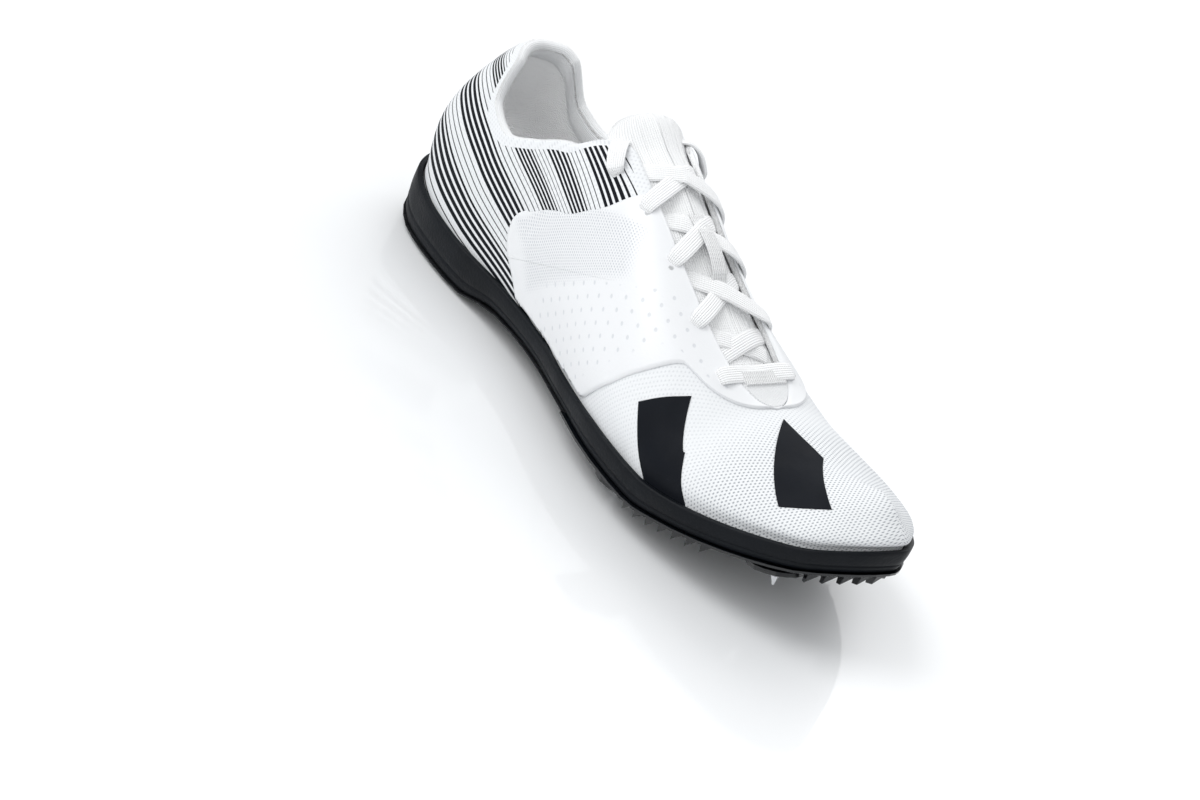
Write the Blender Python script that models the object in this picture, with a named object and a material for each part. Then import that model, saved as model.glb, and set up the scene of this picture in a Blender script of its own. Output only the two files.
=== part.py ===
"""Track spike shoe for the right foot, built as an assembly of solids.

Frame: +X runs from heel to toe, +Y is the medial (inner) side, +Z is up. The
shoe stands on z = 0, on its heel rubber and on the tips of its rear spikes. It
is modelled with its heel at x = 0, and then moved so that the middle of its
plan is over the origin.

The plan outline is read along "stations" q from 0 at the heel to 1 at the toe.
At each station a rib runs from the outline to a spine line inside it, so that
the ribs fan out around the heel and the toe as a last does. Sole layers, insole,
upper, overlay and tongue are all read from the same ribs.
"""
import math

import bmesh
import bpy
import numpy as np

MM = 0.001

# Driving dimensions, in metres.
SHOE_LENGTH = 278 * MM
BALL_WIDTH = 97 * MM
INSTEP_HEIGHT = 100 * MM
COLLAR_HEIGHT = 75 * MM
HEEL_STACK = 15 * MM
FOREFOOT_STACK = 6.5 * MM
HEEL_BEVEL = 7 * MM
TOE_SPRING = 26 * MM
RIM_HEIGHT = 6 * MM
RIM_WIDTH = 2.6 * MM
SKIN_THICKNESS = 2.4 * MM
SKIN_LEDGE = 1.0 * MM
EDGE_ROUND = 3.0 * MM
SOLE_BAND = 7.0 * MM
WALL = 2.0 * MM
COLLAR_PAD = 2.6 * MM
WALL_BULGE = 4.0 * MM
OVERLAY_THICKNESS = 0.8 * MM
OVERLAY_GAP = 0.6 * MM
INSOLE_THICKNESS = 3.0 * MM
TONGUE_THICKNESS = 3.0 * MM
TONGUE_WIDTH = 44 * MM
FIT_GAP = 0.3 * MM

# The throat: an opening over the instep, measured along the spine line.
THROAT_TOP = 108 * MM
THROAT_LENGTH = 95 * MM
THROAT_WIDTH = 33 * MM
THROAT_CORNER = 14 * MM
EYELET_INSET = 5.5 * MM
OVERLAY_BORDER = 11 * MM
TONGUE_LENGTH = 118 * MM

# The spine line, from its distances behind the toe and ahead of the heel.
SPINE_FROM_HEEL = 37 * MM
SPINE_FROM_TOE = 20 * MM

# Spikes, their seats in the plate, teeth and heel lugs.
SPIKE_LENGTH = 6.3 * MM
SPIKE_WIDTH = 5.0 * MM
SPIKE_TIP_WIDTH = 0.8 * MM
SPIKE_COLLAR_WIDTH = 7.2 * MM
SPIKE_COLLAR_HEIGHT = 1.0 * MM
SPIKE_STUD_WIDTH = 4.2 * MM
SEAT_WIDTH = 22 * MM
SEAT_HEIGHT = 2.0 * MM
SEAT_RECESS = 1.0 * MM
SEAT_HOLE_WIDTH = 5.0 * MM
TOOTH_HEIGHT = 3.4 * MM
TOOTH_LENGTH = 4.6 * MM
TOOTH_WIDTH = 4.2 * MM
TOOTH_ROOT = 0.8 * MM
TOOTH_PITCH = 5.6 * MM
TOOTH_LEAN = -0.9
LUG_HEIGHT = 1.3 * MM
LUG_WIDTH = 4.6 * MM
LUG_PITCH = 9.4 * MM
HEEL_PAD_WIDTH = 17 * MM
LUG_ROOT = 0.4 * MM

# Laces, as flat bands, and the keeper loop on the tongue.
LACE_WIDTH = 6.4 * MM
LACE_THICKNESS = 1.1 * MM
LACE_SAG = 1.8 * MM
KEEPER_LENGTH = 22 * MM
KEEPER_WIDTH = 5.0 * MM
KEEPER_THICKNESS = 0.7 * MM

# Mesh densities, in cells, and points along a curve whose length is measured.
CURVE_SAMPLES = 80
UPPER_STATIONS = 34
UPPER_ROWS = 8
UPPER_SHARES = np.linspace(0, 1, UPPER_ROWS + 1)
OVERLAY_COLUMNS = 19
TONGUE_COLUMNS = 13
TONGUE_SHARES = np.linspace(0, 1, 5)
ROUND_SIDES = 16

# The walls' bulge: how high it reaches on a rib, and how far its belly hangs down.
BULGE_REACH = 0.85
BULGE_HANG = 0.75

# The throat's taper from end to end, and how square its end is.
THROAT_TAPER = 0.20
THROAT_SQUARE = 9

# Places along the throat, near its round end, where the upper and the overlay have
# columns of their own, and how near an even column may come to them, in cells.
THROAT_TURN = np.array([0.84, 0.91, 0.96, 0.985, 1.0, 1.04])
TURN_CLEARANCE = 0.45

# The tongue's taper, and how square its tip is.
TONGUE_TAPER = 0.12
TONGUE_TIP_ROUND = 0.55
TONGUE_SQUARE = 7

# Heights over the bed, as shares of COLLAR_HEIGHT, where the collar's pad swells.
PAD_START, PAD_FULL = 0.30, 0.60

# Share of a rib's rows that one share of its height takes near the rim.
RIM_SHARE = 0.95

# Radius that weighs a rib's bend against its length when rows are set out.
BEND_RADIUS = 12 * MM

LATERAL, MEDIAL = -1, 1
SIDES = (LATERAL, MEDIAL)

BALL_CLEARANCE = SPIKE_LENGTH + SEAT_HEIGHT + FIT_GAP

# How far the tongue's top lies under the outside of the upper.
TONGUE_SINK = WALL + 3 * FIT_GAP


def smooth(knots, values, at, flat_peaks=True):
    """Cubic curve through (knots, values), read at the given places.

    With flat_peaks the curve never overshoots its rows, so level stretches stay
    level. Without it the tangents are the mean slopes, which suits an outline.
    """
    knots, values, at = (np.asarray(a, float) for a in (knots, values, at))
    step = np.diff(knots)
    slope = np.diff(values) / step
    before, after = slope[:-1], slope[1:]
    tangent = np.empty_like(values)
    tangent[0], tangent[-1] = slope[0], slope[-1]
    if flat_peaks:
        with np.errstate(divide="ignore", invalid="ignore"):
            weight_a = 2 * step[1:] + step[:-1]
            weight_b = step[1:] + 2 * step[:-1]
            mean = (weight_a + weight_b) / (weight_a / before + weight_b / after)
        tangent[1:-1] = np.where(before * after > 0, mean, 0.0)
    else:
        tangent[1:-1] = (before * step[1:] + after * step[:-1]) / (step[1:] + step[:-1])
    cell = np.clip(np.searchsorted(knots, at, side="right") - 1, 0, len(step) - 1)
    t = np.clip((at - knots[cell]) / step[cell], 0, 1)
    bend_a = t * (1 - t) ** 2 * step[cell] * tangent[cell]
    bend_b = t * t * (t - 1) * step[cell] * tangent[cell + 1]
    ease = t * t * (3 - 2 * t)
    return values[cell] * (1 - ease) + values[cell + 1] * ease + bend_a + bend_b


def ease_between(start, end, value):
    """Smooth step from 0 at start to 1 at end."""
    t = np.clip((value - start) / (end - start), 0, 1)
    return t * t * (3 - 2 * t)


class Table:
    """Rows of shares with named columns; the first column is the place."""

    def __init__(self, columns, rows):
        self.values = dict(zip(columns.split(), np.array(rows, float).T))
        self.places = self.values[columns.split()[0]]

    def read(self, column, place):
        return smooth(self.places, self.values[column], place)


# Plan outline: half widths as shares of BALL_WIDTH, from the heel's axis.
PLAN = Table(
    "along lateral medial",
    (
        (0.000, 0.000, 0.000),
        (0.031, 0.205, 0.205),
        (0.087, 0.275, 0.272),
        (0.174, 0.305, 0.325),
        (0.308, 0.300, 0.319),
        (0.420, 0.336, 0.285),
        (0.513, 0.403, 0.272),
        (0.595, 0.455, 0.320),
        (0.677, 0.478, 0.425),
        (0.759, 0.465, 0.500),
        (0.841, 0.409, 0.494),
        (0.912, 0.315, 0.408),
        (0.953, 0.236, 0.302),
        (0.981, 0.120, 0.196),
        (1.000, -0.075, 0.075),
    ),
)

# Side view of the sole. bevel: share of HEEL_BEVEL. lift: share of the clearance
# that the spikes give. spring: share of TOE_SPRING. heel: how much of the bed's
# height is the heel's, the rest being the forefoot's. rim: share of RIM_HEIGHT.
SIDE = Table(
    "along bevel lift spring heel rim",
    (
        (0.000, 1.00, 0.00, 0.000, 1.00, 1.60),
        (0.036, 0.30, 0.00, 0.000, 1.00, 1.20),
        (0.079, 0.00, 0.00, 0.000, 1.00, 0.80),
        (0.223, 0.00, 0.00, 0.000, 1.00, 0.50),
        (0.306, 0.00, 0.70, 0.000, 0.95, 0.60),
        (0.414, 0.00, 0.96, 0.000, 0.80, 0.73),
        (0.523, 0.00, 1.08, 0.000, 0.50, 0.82),
        (0.615, 0.00, 1.00, 0.000, 0.10, 1.00),
        (0.713, 0.00, 1.00, 0.000, 0.00, 1.02),
        (0.783, 0.00, 1.00, 0.148, 0.00, 0.88),
        (0.863, 0.00, 1.00, 0.389, 0.00, 0.86),
        (0.942, 0.00, 1.00, 0.687, 0.00, 0.84),
        (1.000, 0.00, 1.00, 1.000, 0.00, 1.00),
    ),
)

# Upper over the spine. crown: height of the closed arch above the bed, as a share
# of INSTEP_HEIGHT (over the collar it is the arch that the walls would close to).
# square: exponent of the rib's superellipse.
BODY = Table(
    "along crown square",
    (
        (0.133, 0.800, 2.35),
        (0.185, 0.865, 2.50),
        (0.251, 0.890, 2.60),
        (0.338, 0.870, 3.80),
        (0.410, 0.807, 4.20),
        (0.482, 0.714, 3.90),
        (0.554, 0.606, 3.50),
        (0.620, 0.505, 3.00),
        (0.684, 0.419, 2.50),
        (0.738, 0.354, 2.30),
        (0.800, 0.304, 2.20),
        (0.861, 0.266, 2.20),
        (0.912, 0.262, 2.20),
        (0.930, 0.264, 2.30),
    ),
)

# Upper around the outline. edge: topline height above the bed, share of
# COLLAR_HEIGHT. bulge: share of WALL_BULGE. pad: share of COLLAR_PAD.
WRAP = Table(
    "along edge bulge pad",
    (
        (0.000, 1.000, 1.00, 1.0),
        (0.031, 1.000, 0.90, 1.0),
        (0.072, 0.955, 0.60, 1.0),
        (0.123, 0.720, 0.40, 1.0),
        (0.174, 0.665, 0.30, 1.0),
        (0.226, 0.750, 0.25, 1.0),
        (0.277, 0.875, 0.25, 0.8),
        (0.328, 0.945, 0.25, 0.2),
        (0.379, 1.025, 0.30, 0.0),
        (0.461, 1.030, 0.35, 0.0),
        (0.718, 1.030, 0.45, 0.0),
        (1.000, 1.030, 0.80, 0.0),
    ),
)

# Overlay (saddle and eyestay) up the wall from the rim to the throat's edge.
# rear: its back edge, from the throat's top. front: its front edge, back from the
# border in front of the throat. Both as shares of THROAT_LENGTH along the spine.
SADDLE = Table(
    "up rear front",
    (
        (0.000, 0.075, 0.530),
        (0.160, -0.040, 0.470),
        (0.260, -0.085, 0.425),
        (0.360, -0.105, 0.372),
        (0.500, -0.075, 0.293),
        (0.625, 0.050, 0.222),
        (0.750, 0.165, 0.139),
        (0.900, 0.200, 0.050),
        (1.000, 0.210, 0.000),
    ),
)

# Eyelet pairs from the toe end, as shares of the throat's length.
EYELETS = (0.850, 0.665, 0.475, 0.285, 0.115)

# Spikes: place along the shoe as a share of SHOE_LENGTH, and across it as a
# share of BALL_WIDTH (lateral is negative).
SPIKES = (
    ("lateral_rear", 0.664, -0.345),
    ("lateral_front", 0.904, -0.185),
    ("medial_front", 0.922, 0.178),
    ("medial_rear", 0.707, 0.325),
)

# Rows of teeth under the plate, each set in from the outline by a share of
# BALL_WIDTH and running between two places along the shoe.
TEETH = (
    ("lateral_edge", LATERAL, 0.047, 0.721, 0.849),
    ("lateral_inner", LATERAL, 0.250, 0.728, 0.836),
    ("toe_lateral", LATERAL, 0.050, 0.968, 1.000),
    ("toe_medial", MEDIAL, 0.050, 0.986, 0.989),
    ("medial_edge", MEDIAL, 0.050, 0.769, 0.902),
    ("medial_inner", MEDIAL, 0.250, 0.779, 0.871),
)

# Where the plate ends behind, as shares of SHOE_LENGTH: a blunt V in plan. The ends
# of its arms and its blunt vertex lie across the shoe by shares of BALL_WIDTH.
PLATE_LATERAL_END = 0.533
PLATE_VERTEX = 0.656
PLATE_MEDIAL_END = 0.574
PLATE_LATERAL_ARM = 0.44
PLATE_MEDIAL_ARM = 0.36
PLATE_BLUNT = 0.07

# How much the heel's lugs narrow to their feet.
PAD_TAPER = 0.94
LUG_TAPER = 0.75

# Seat disc: radii of its bowl, crown and face, as shares of its outer radius, and
# how deep the cuts between its nubs are, as a share of SEAT_RECESS.
SEAT_BOWL, SEAT_CROWN, SEAT_FACE = 0.62, 0.70, 0.94
NUB_CUT = 0.45

# The lowest crossing starts this many lace widths behind its eyelets, under the
# bar, and every crossing ends at this share of the way to the next eyelets.
FIRST_CROSSING_START = 1.25
CROSSING_REACH = 0.80


def station_at(share):
    """Station q of a place along the shoe."""
    return np.arccos(np.clip(1 - 2 * np.asarray(share, float), -1, 1)) / np.pi


def share_at(station):
    """Place along the shoe of a station: cosine spacing rounds both ends."""
    return (1 - np.cos(np.pi * np.asarray(station, float))) / 2


def outline(station, side, inset=0.0):
    """Plan points of the outline, set in by a distance along its normal."""
    column = "lateral" if side == LATERAL else "medial"
    knots = station_at(PLAN.places)

    def half_width(q):
        return side * BALL_WIDTH * smooth(knots, PLAN.values[column], q, flat_peaks=False)

    ahead, behind = np.clip(station + 1e-4, 0, 1), np.clip(station - 1e-4, 0, 1)
    along = SHOE_LENGTH * np.pi / 2 * np.sin(np.pi * station)
    across = (half_width(ahead) - half_width(behind)) / (ahead - behind)
    length = np.hypot(along, across)
    x = SHOE_LENGTH * share_at(station) + side * inset * across / length
    y = half_width(station) - side * inset * along / length
    return np.stack([x, y], -1)


def spine(station):
    """Plan points of the spine line that the ribs run to."""
    x = SPINE_FROM_HEEL + (SHOE_LENGTH - SPINE_FROM_HEEL - SPINE_FROM_TOE) * share_at(station)
    swing = BALL_WIDTH * PLAN.values["medial"][-1] * ease_between(0.5, 1.0, x / SHOE_LENGTH)
    return np.stack([x, swing], -1)


def station_of_spine(x):
    """Station whose rib meets the spine line at x."""
    return station_at((x - SPINE_FROM_HEEL) / (SHOE_LENGTH - SPINE_FROM_HEEL - SPINE_FROM_TOE))


def ground(x):
    """Height of the sole's underside."""
    share = x / SHOE_LENGTH
    return (
        HEEL_BEVEL * SIDE.read("bevel", share)
        + BALL_CLEARANCE * SIDE.read("lift", share)
        + TOE_SPRING * SIDE.read("spring", share)
    )


def bed(x):
    """Height of the bed that the foot's insole lies on."""
    share = x / SHOE_LENGTH
    heel = SIDE.read("heel", share)
    forefoot_height = BALL_CLEARANCE + FOREFOOT_STACK
    return HEEL_STACK * heel + forefoot_height * (1 - heel) + TOE_SPRING * SIDE.read("spring", share)


def rim(x):
    """Height of the midsole's raised rim."""
    return bed(x) + RIM_HEIGHT * SIDE.read("rim", x / SHOE_LENGTH)


class Ribs:
    """Ribs of the upper at given stations on one side of the shoe."""

    def __init__(self, station, side):
        self.foot = outline(station, side, RIM_WIDTH + FIT_GAP)
        self.top = spine(station)
        self.along = self.foot[..., 0] / SHOE_LENGTH
        run = self.top - self.foot
        self.width = np.linalg.norm(run, axis=-1)
        self.inward = run / self.width[..., None]
        self.base = bed(self.foot[..., 0]) + FIT_GAP
        spine_share = self.top[..., 0] / SHOE_LENGTH
        crown = bed(self.top[..., 0]) + INSTEP_HEIGHT * BODY.read("crown", spine_share)
        self.rise = crown - self.base
        self.power = BODY.read("square", spine_share)

    def points(self, angle):
        """Points of the upper's outside at rib angles from 0 (rim) to pi/2 (crown)."""
        across = 1 - np.cos(angle) ** (2 / self.power)
        height = self.rise * np.clip(np.sin(angle), 0, 1) ** (2 / self.power)
        start = RIM_HEIGHT * SIDE.read("rim", self.along)
        place = np.clip((height - start) / (BULGE_REACH * self.rise - start), 0, 1)
        bulge = WALL_BULGE * WRAP.read("bulge", self.along) * np.sin(np.pi * place**BULGE_HANG) ** 2
        plan = self.foot + self.inward * (self.width * across - bulge)[..., None]
        return np.concatenate([plan, (self.base + height)[..., None]], -1)

    def angle_at_height(self, height):
        share = np.clip(height / self.rise, 0, 1)
        return np.arcsin(share ** (self.power / 2))

    def angle_at_spine_distance(self, distance):
        share = np.clip(distance / self.width, 0, 1)
        return np.arccos(share ** (self.power / 2))

    def edge_angle(self):
        """Where the upper ends: at the topline, then at the throat, then closed."""
        topline = self.angle_at_height(COLLAR_HEIGHT * WRAP.read("edge", self.along))
        throat = self.angle_at_spine_distance(throat_half_width(self.top[..., 0]))
        return topline + (throat - topline) * ease_between(
            THROAT_TOP - THROAT_CORNER / 2, THROAT_TOP + THROAT_CORNER / 2, self.top[..., 0]
        )


def throat_half_width(x):
    """Half of the throat's width at a place on the spine, with a round toe end."""
    place = np.clip((x - THROAT_TOP) / THROAT_LENGTH, 0, 1)
    return THROAT_WIDTH / 2 * (1 - THROAT_TAPER * place) * np.sqrt(1 - place**THROAT_SQUARE)


def rib_grid(stations, side, low_angle, high_angle, shares):
    """Grid of points up ribs, with rows at shares of each rib's girth and bend.

    shares holds a row of shares for each station, or one row for all of them.
    Counting the bend as well sets the rows closer where a rib turns.
    """
    shares = np.broadcast_to(shares, (len(stations), np.shape(shares)[-1]))
    fine = np.linspace(0, 1, CURVE_SAMPLES)
    grid = np.empty((*shares.shape, 3))
    for index, station in enumerate(stations):
        rib = Ribs(np.full(len(fine), station), side)
        path = rib.points(low_angle[index] + (high_angle[index] - low_angle[index]) * fine)
        run = np.diff(path, axis=0)
        length = np.linalg.norm(run, axis=1)
        heading = run / length[:, None]
        bend = np.r_[0, np.linalg.norm(np.diff(heading, axis=0), axis=1)]
        travel = np.r_[0, np.cumsum(length + BEND_RADIUS * bend)]
        for axis in range(3):
            grid[index, :, axis] = np.interp(shares[index] * travel[-1], travel, path[:, axis])
    closed = np.isclose(high_angle, np.pi / 2) & np.isclose(shares[:, -1], 1)
    grid[closed, -1, :2] = spine(stations)[closed]
    return grid


def grid_faces(columns, rows, side, first=0):
    """Quads of a grid, wound so that they face away from the foot."""
    index = first + np.arange(columns * rows).reshape(columns, rows)
    quads = np.stack([index[:-1, :-1], index[1:, :-1], index[1:, 1:], index[:-1, 1:]], -1).reshape(-1, 4)
    return quads if side == LATERAL else quads[:, ::-1]


def weld(points, faces):
    """Join points that coincide and drop the corners that a face then repeats."""
    keys = np.round(points / (1e-3 * MM)).astype(np.int64)
    _, first, joined = np.unique(keys, axis=0, return_index=True, return_inverse=True)
    joined = joined.reshape(-1)
    kept = []
    for face in faces:
        corners = [joined[corner] for corner in face]
        corners = [c for place, c in enumerate(corners) if c != corners[place - 1]]
        if len(set(corners)) == len(corners) > 2:
            kept.append(corners)
    return points[first], kept


def both_sides(left_grid, right_grid):
    """One sheet from a lateral and a medial grid that share some points."""
    columns, rows = left_grid.shape[:2]
    points = np.concatenate([left_grid.reshape(-1, 3), right_grid.reshape(-1, 3)])
    faces = [*grid_faces(columns, rows, LATERAL), *grid_faces(columns, rows, MEDIAL, columns * rows)]
    return weld(points, faces)


def sheet_normals(points, faces):
    """Area-weighted normals at the points of a sheet."""
    normals = np.zeros_like(points)
    for face in faces:
        corners = points[face]
        turned = np.roll(corners, -1, axis=0)
        normals[face] += np.cross(corners, turned).sum(0)
    return normals / np.linalg.norm(normals, axis=1)[:, None]


def thicken(points, faces, low, high):
    """Closed solid between two offsets of a sheet, low under high."""
    normals = sheet_normals(points, faces)
    low, high = (np.broadcast_to(offset, len(points))[:, None] for offset in (low, high))
    count = len(points)
    solid_points = np.concatenate([points + normals * high, points + normals * low])
    solid_faces = [list(face) for face in faces] + [[c + count for c in face[::-1]] for face in faces]
    edges = {(face[i - 1], face[i]) for face in faces for i in range(len(face))}
    for start, end in sorted(edges):
        if (end, start) not in edges:
            solid_faces.append([end, start, start + count, end + count])
    return solid_points, solid_faces


def make_material(name, colour, roughness, metallic=0.0):
    material = bpy.data.materials.new(name)
    material.use_nodes = True
    shader = material.node_tree.nodes["Principled BSDF"]
    shader.inputs["Base Color"].default_value = (*colour, 1.0)
    shader.inputs["Roughness"].default_value = roughness
    shader.inputs["Metallic"].default_value = metallic
    return material


def add_solid(name, points, faces, finish, flat=False):
    """Object from points and faces, with outward faces and smooth round parts."""
    mesh = bpy.data.meshes.new(name)
    mesh.from_pydata([tuple(map(float, p)) for p in points], [], [[int(c) for c in f] for f in faces])
    shape = bmesh.new()
    shape.from_mesh(mesh)
    bmesh.ops.recalc_face_normals(shape, faces=shape.faces)
    if shape.calc_volume(signed=True) < 0:
        bmesh.ops.reverse_faces(shape, faces=shape.faces)
    bmesh.ops.triangulate(shape, faces=shape.faces)
    shape.to_mesh(mesh)
    shape.free()
    if not flat:
        mesh.shade_smooth()
        mesh.set_sharp_from_angle(angle=math.radians(40))
    mesh.materials.append(make_material(name + "_finish", *finish))
    solid = bpy.data.objects.new(name, mesh)
    bpy.context.scene.collection.objects.link(solid)
    return solid


def add_cutter(name, points, faces):
    cutter = add_solid(name, points, faces, BLACK_RUBBER, flat=True)
    cutter.hide_render = True
    cutter.display_type = "WIRE"
    return cutter


def add_boolean(target, cutter, operation):
    boolean = target.modifiers.new(cutter.name, "BOOLEAN")
    boolean.object = cutter
    boolean.operation = operation
    boolean.solver = "EXACT"


# Finishes: colour, roughness and metallic value.
WHITE_MESH = ((0.86, 0.87, 0.88), 0.75)
WHITE_FILM = ((0.90, 0.91, 0.92), 0.45)
WHITE_LACE = ((0.92, 0.92, 0.92), 0.80)
GREY_LINING = ((0.72, 0.73, 0.74), 0.85)
BLACK_FOAM = ((0.015, 0.018, 0.022), 0.55)
BLACK_RUBBER = ((0.012, 0.012, 0.013), 0.65)
BLACK_PLATE = ((0.008, 0.009, 0.011), 0.22)
BRIGHT_STEEL = ((0.75, 0.76, 0.78), 0.25, 1.0)


def with_extra_places(even, extra):
    """Even places with some of their own put in, and the even ones beside those left out."""
    near = np.abs(even[:, None] - extra[None]).min(1) < TURN_CLEARANCE * (even[1] - even[0])
    return np.sort(np.r_[even[~near], extra])


def upper_stations():
    """Even stations, with closer ones where the throat's end turns round."""
    turn = station_of_spine(THROAT_TOP + THROAT_LENGTH * THROAT_TURN)
    return with_extra_places(np.linspace(0, 1, UPPER_STATIONS + 1), turn)


def add_upper():
    """Hollow shell: open at the collar, along the throat and underneath."""
    stations = upper_stations()
    grids = []
    for side in SIDES:
        ribs = Ribs(stations, side)
        grids.append(rib_grid(stations, side, 0 * stations, ribs.edge_angle(), UPPER_SHARES))
    points, faces = both_sides(*grids)
    height = (points[:, 2] - bed(points[:, 0])) / COLLAR_HEIGHT
    pad = COLLAR_PAD * WRAP.read("pad", points[:, 0] / SHOE_LENGTH) * ease_between(PAD_START, PAD_FULL, height)
    solid = thicken(points, faces, -(WALL + pad), 0.0)
    return add_solid("upper", *solid, WHITE_MESH)


def add_overlay():
    """Saddle and eyestay film, laid over the upper and round the throat's end."""
    rear = THROAT_TOP + THROAT_LENGTH * SADDLE.read("rear", UPPER_SHARES)
    front_end = THROAT_TOP + THROAT_LENGTH + OVERLAY_BORDER
    front = front_end - THROAT_LENGTH * SADDLE.read("front", UPPER_SHARES)
    turn = (THROAT_TOP + THROAT_LENGTH * THROAT_TURN - rear[-1]) / (front[-1] - rear[-1])
    across = with_extra_places(np.linspace(0, 1, OVERLAY_COLUMNS), turn)
    grids = []
    for side in SIDES:
        grid = np.empty((len(across), len(UPPER_SHARES), 3))
        for row, share in enumerate(UPPER_SHARES):
            stations = station_of_spine(rear[row] + (front[row] - rear[row]) * across)
            ribs = Ribs(stations, side)
            clear_of_rim = (RIM_HEIGHT * SIDE.read("rim", ribs.along) + 2 * FIT_GAP) / ribs.rise
            shares = np.maximum(share, RIM_SHARE * clear_of_rim)[:, None]
            grid[:, row] = rib_grid(stations, side, 0 * stations, ribs.edge_angle(), shares)[:, 0]
        grids.append(grid)
    points, faces = both_sides(*grids)
    solid = thicken(points, faces, OVERLAY_GAP, OVERLAY_GAP + OVERLAY_THICKNESS)
    return add_solid("eyestay_overlay", *solid, WHITE_FILM)


def tongue_half_width(place):
    """Half width of the tongue, from its root at 0 to its tip at 1."""
    taper = 1 - TONGUE_TAPER * place
    return TONGUE_WIDTH / 2 * taper * np.sqrt(1 - TONGUE_TIP_ROUND * place**TONGUE_SQUARE)


def add_tongue():
    """Padded strip under the throat, from below its toe end to above the collar."""
    place = np.linspace(0, 1, TONGUE_COLUMNS + 1)
    root = THROAT_TOP + THROAT_LENGTH + OVERLAY_BORDER
    stations = station_of_spine(root - TONGUE_LENGTH * place)[::-1]
    half = tongue_half_width(place)[::-1]
    grids = []
    for side in SIDES:
        ribs = Ribs(stations, side)
        low = ribs.angle_at_spine_distance(half)
        grids.append(rib_grid(stations, side, low, np.full(len(stations), np.pi / 2), TONGUE_SHARES))
    points, faces = both_sides(*grids)
    solid = thicken(points, faces, -TONGUE_SINK - TONGUE_THICKNESS, -TONGUE_SINK)
    return add_solid("tongue", *solid, WHITE_MESH)


def layer_solid(rows, stations):
    """Closed solid of rib rows: each row has an inset, a share of the way to the
    spine, and a height function. Rows run from the spine below to the spine above."""
    grids = []
    for side in SIDES:
        grid = np.empty((len(stations), len(rows), 3))
        for index, (inset, share, height) in enumerate(rows):
            start = outline(stations, side, inset)
            plan = start + (spine(stations) - start) * share
            grid[:, index, :2] = plan
            grid[:, index, 2] = height(plan[:, 0])
        grids.append(grid)
    return both_sides(*grids)


def skin_top(x):
    return ground(x) + SKIN_THICKNESS - FIT_GAP


def foam_bottom(x):
    return ground(x) + SKIN_THICKNESS


def add_midsole():
    """Foam midsole with a raised rim around the upper's lower edge."""
    def flank(share):
        return lambda x: foam_bottom(x) + (rim(x) - foam_bottom(x)) * share

    rows = (
        (0.0, 1.00, foam_bottom),
        (0.0, 0.50, foam_bottom),
        (SOLE_BAND, 0.0, foam_bottom),
        (SKIN_LEDGE + EDGE_ROUND / 2, 0.0, foam_bottom),
        (SKIN_LEDGE, 0.0, flank(0.10)),
        (0.0, 0.0, flank(0.55)),
        (0.25 * RIM_WIDTH, 0.0, rim),
        (RIM_WIDTH, 0.0, rim),
        (RIM_WIDTH, 0.0, bed),
        (0.0, 0.50, bed),
        (0.0, 1.00, bed),
    )
    return add_solid("midsole", *layer_solid(rows, upper_stations()), BLACK_FOAM)


def add_insole():
    """Insole slab on the bed, clear of the upper's wall."""
    inset = RIM_WIDTH + WALL + 3 * FIT_GAP

    def bottom(x):
        return bed(x) + FIT_GAP

    def top(x):
        return bed(x) + FIT_GAP + INSOLE_THICKNESS

    rows = ((inset, 1.0, bottom), (inset, 0.0, bottom), (inset, 0.0, top), (inset, 1.0, top))
    return add_solid("insole", *layer_solid(rows, upper_stations()), GREY_LINING)


def plate_edge_polygon(gap):
    """Plan polygon ahead of the plate's rear edge, moved forward by a gap."""
    side = BALL_WIDTH
    lateral = SHOE_LENGTH * PLATE_LATERAL_END + gap
    vertex = SHOE_LENGTH * PLATE_VERTEX + gap
    medial = SHOE_LENGTH * PLATE_MEDIAL_END + gap
    ahead = 1.2 * SHOE_LENGTH
    blunt = PLATE_BLUNT * BALL_WIDTH
    return [
        (ahead, -side), (lateral, -side), (lateral, -PLATE_LATERAL_ARM * BALL_WIDTH),
        (vertex - 0.3 * blunt, -blunt), (vertex, 0.0), (vertex - 0.3 * blunt, blunt),
        (medial, PLATE_MEDIAL_ARM * BALL_WIDTH), (medial, side), (ahead, side),
    ]


def prism(polygon, low, high):
    """Upright prism over a plan polygon."""
    count = len(polygon)
    points = np.array([(x, y, z) for z in (low, high) for x, y in polygon])
    faces = [list(range(count))[::-1], list(range(count, 2 * count))]
    faces += [[i, (i + 1) % count, (i + 1) % count + count, i + count] for i in range(count)]
    return points, faces


def skin_solid(underside, top, ledge):
    """Thin layer under the midsole, with a rounded lower edge."""
    rows = (
        (0.0, 1.00, underside),
        (0.0, 0.50, underside),
        (SOLE_BAND, 0.0, underside),
        (ledge + EDGE_ROUND, 0.0, underside),
        (ledge, 0.0, lambda x: underside(x) + 0.55 * (top(x) - underside(x))),
        (ledge, 0.0, top),
        (SOLE_BAND, 0.0, top),
        (0.0, 0.50, top),
        (0.0, 1.00, top),
    )
    return layer_solid(rows, upper_stations())


def wedge(centre, along, lean):
    """Saw tooth: a base inside the plate and a ridge across it, leaning along."""
    along = np.array(along) / np.linalg.norm(along)
    across = np.array([-along[1], along[0]])
    base = [
        centre + along * a * TOOTH_LENGTH / 2 + across * b * TOOTH_WIDTH / 2
        for a, b in ((-1, -1), (1, -1), (1, 1), (-1, 1))
    ]
    ridge = [centre + along * lean * TOOTH_LENGTH / 2 + across * b * TOOTH_WIDTH / 3 for b in (-1, 1)]
    points = [(*p, ground(p[0]) + TOOTH_ROOT) for p in base]
    points += [(*p, ground(p[0]) - TOOTH_HEIGHT) for p in ridge]
    faces = [[0, 1, 2, 3], [0, 4, 1], [1, 4, 5, 2], [2, 5, 3], [3, 5, 4, 0]]
    return np.array(points), faces


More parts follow.
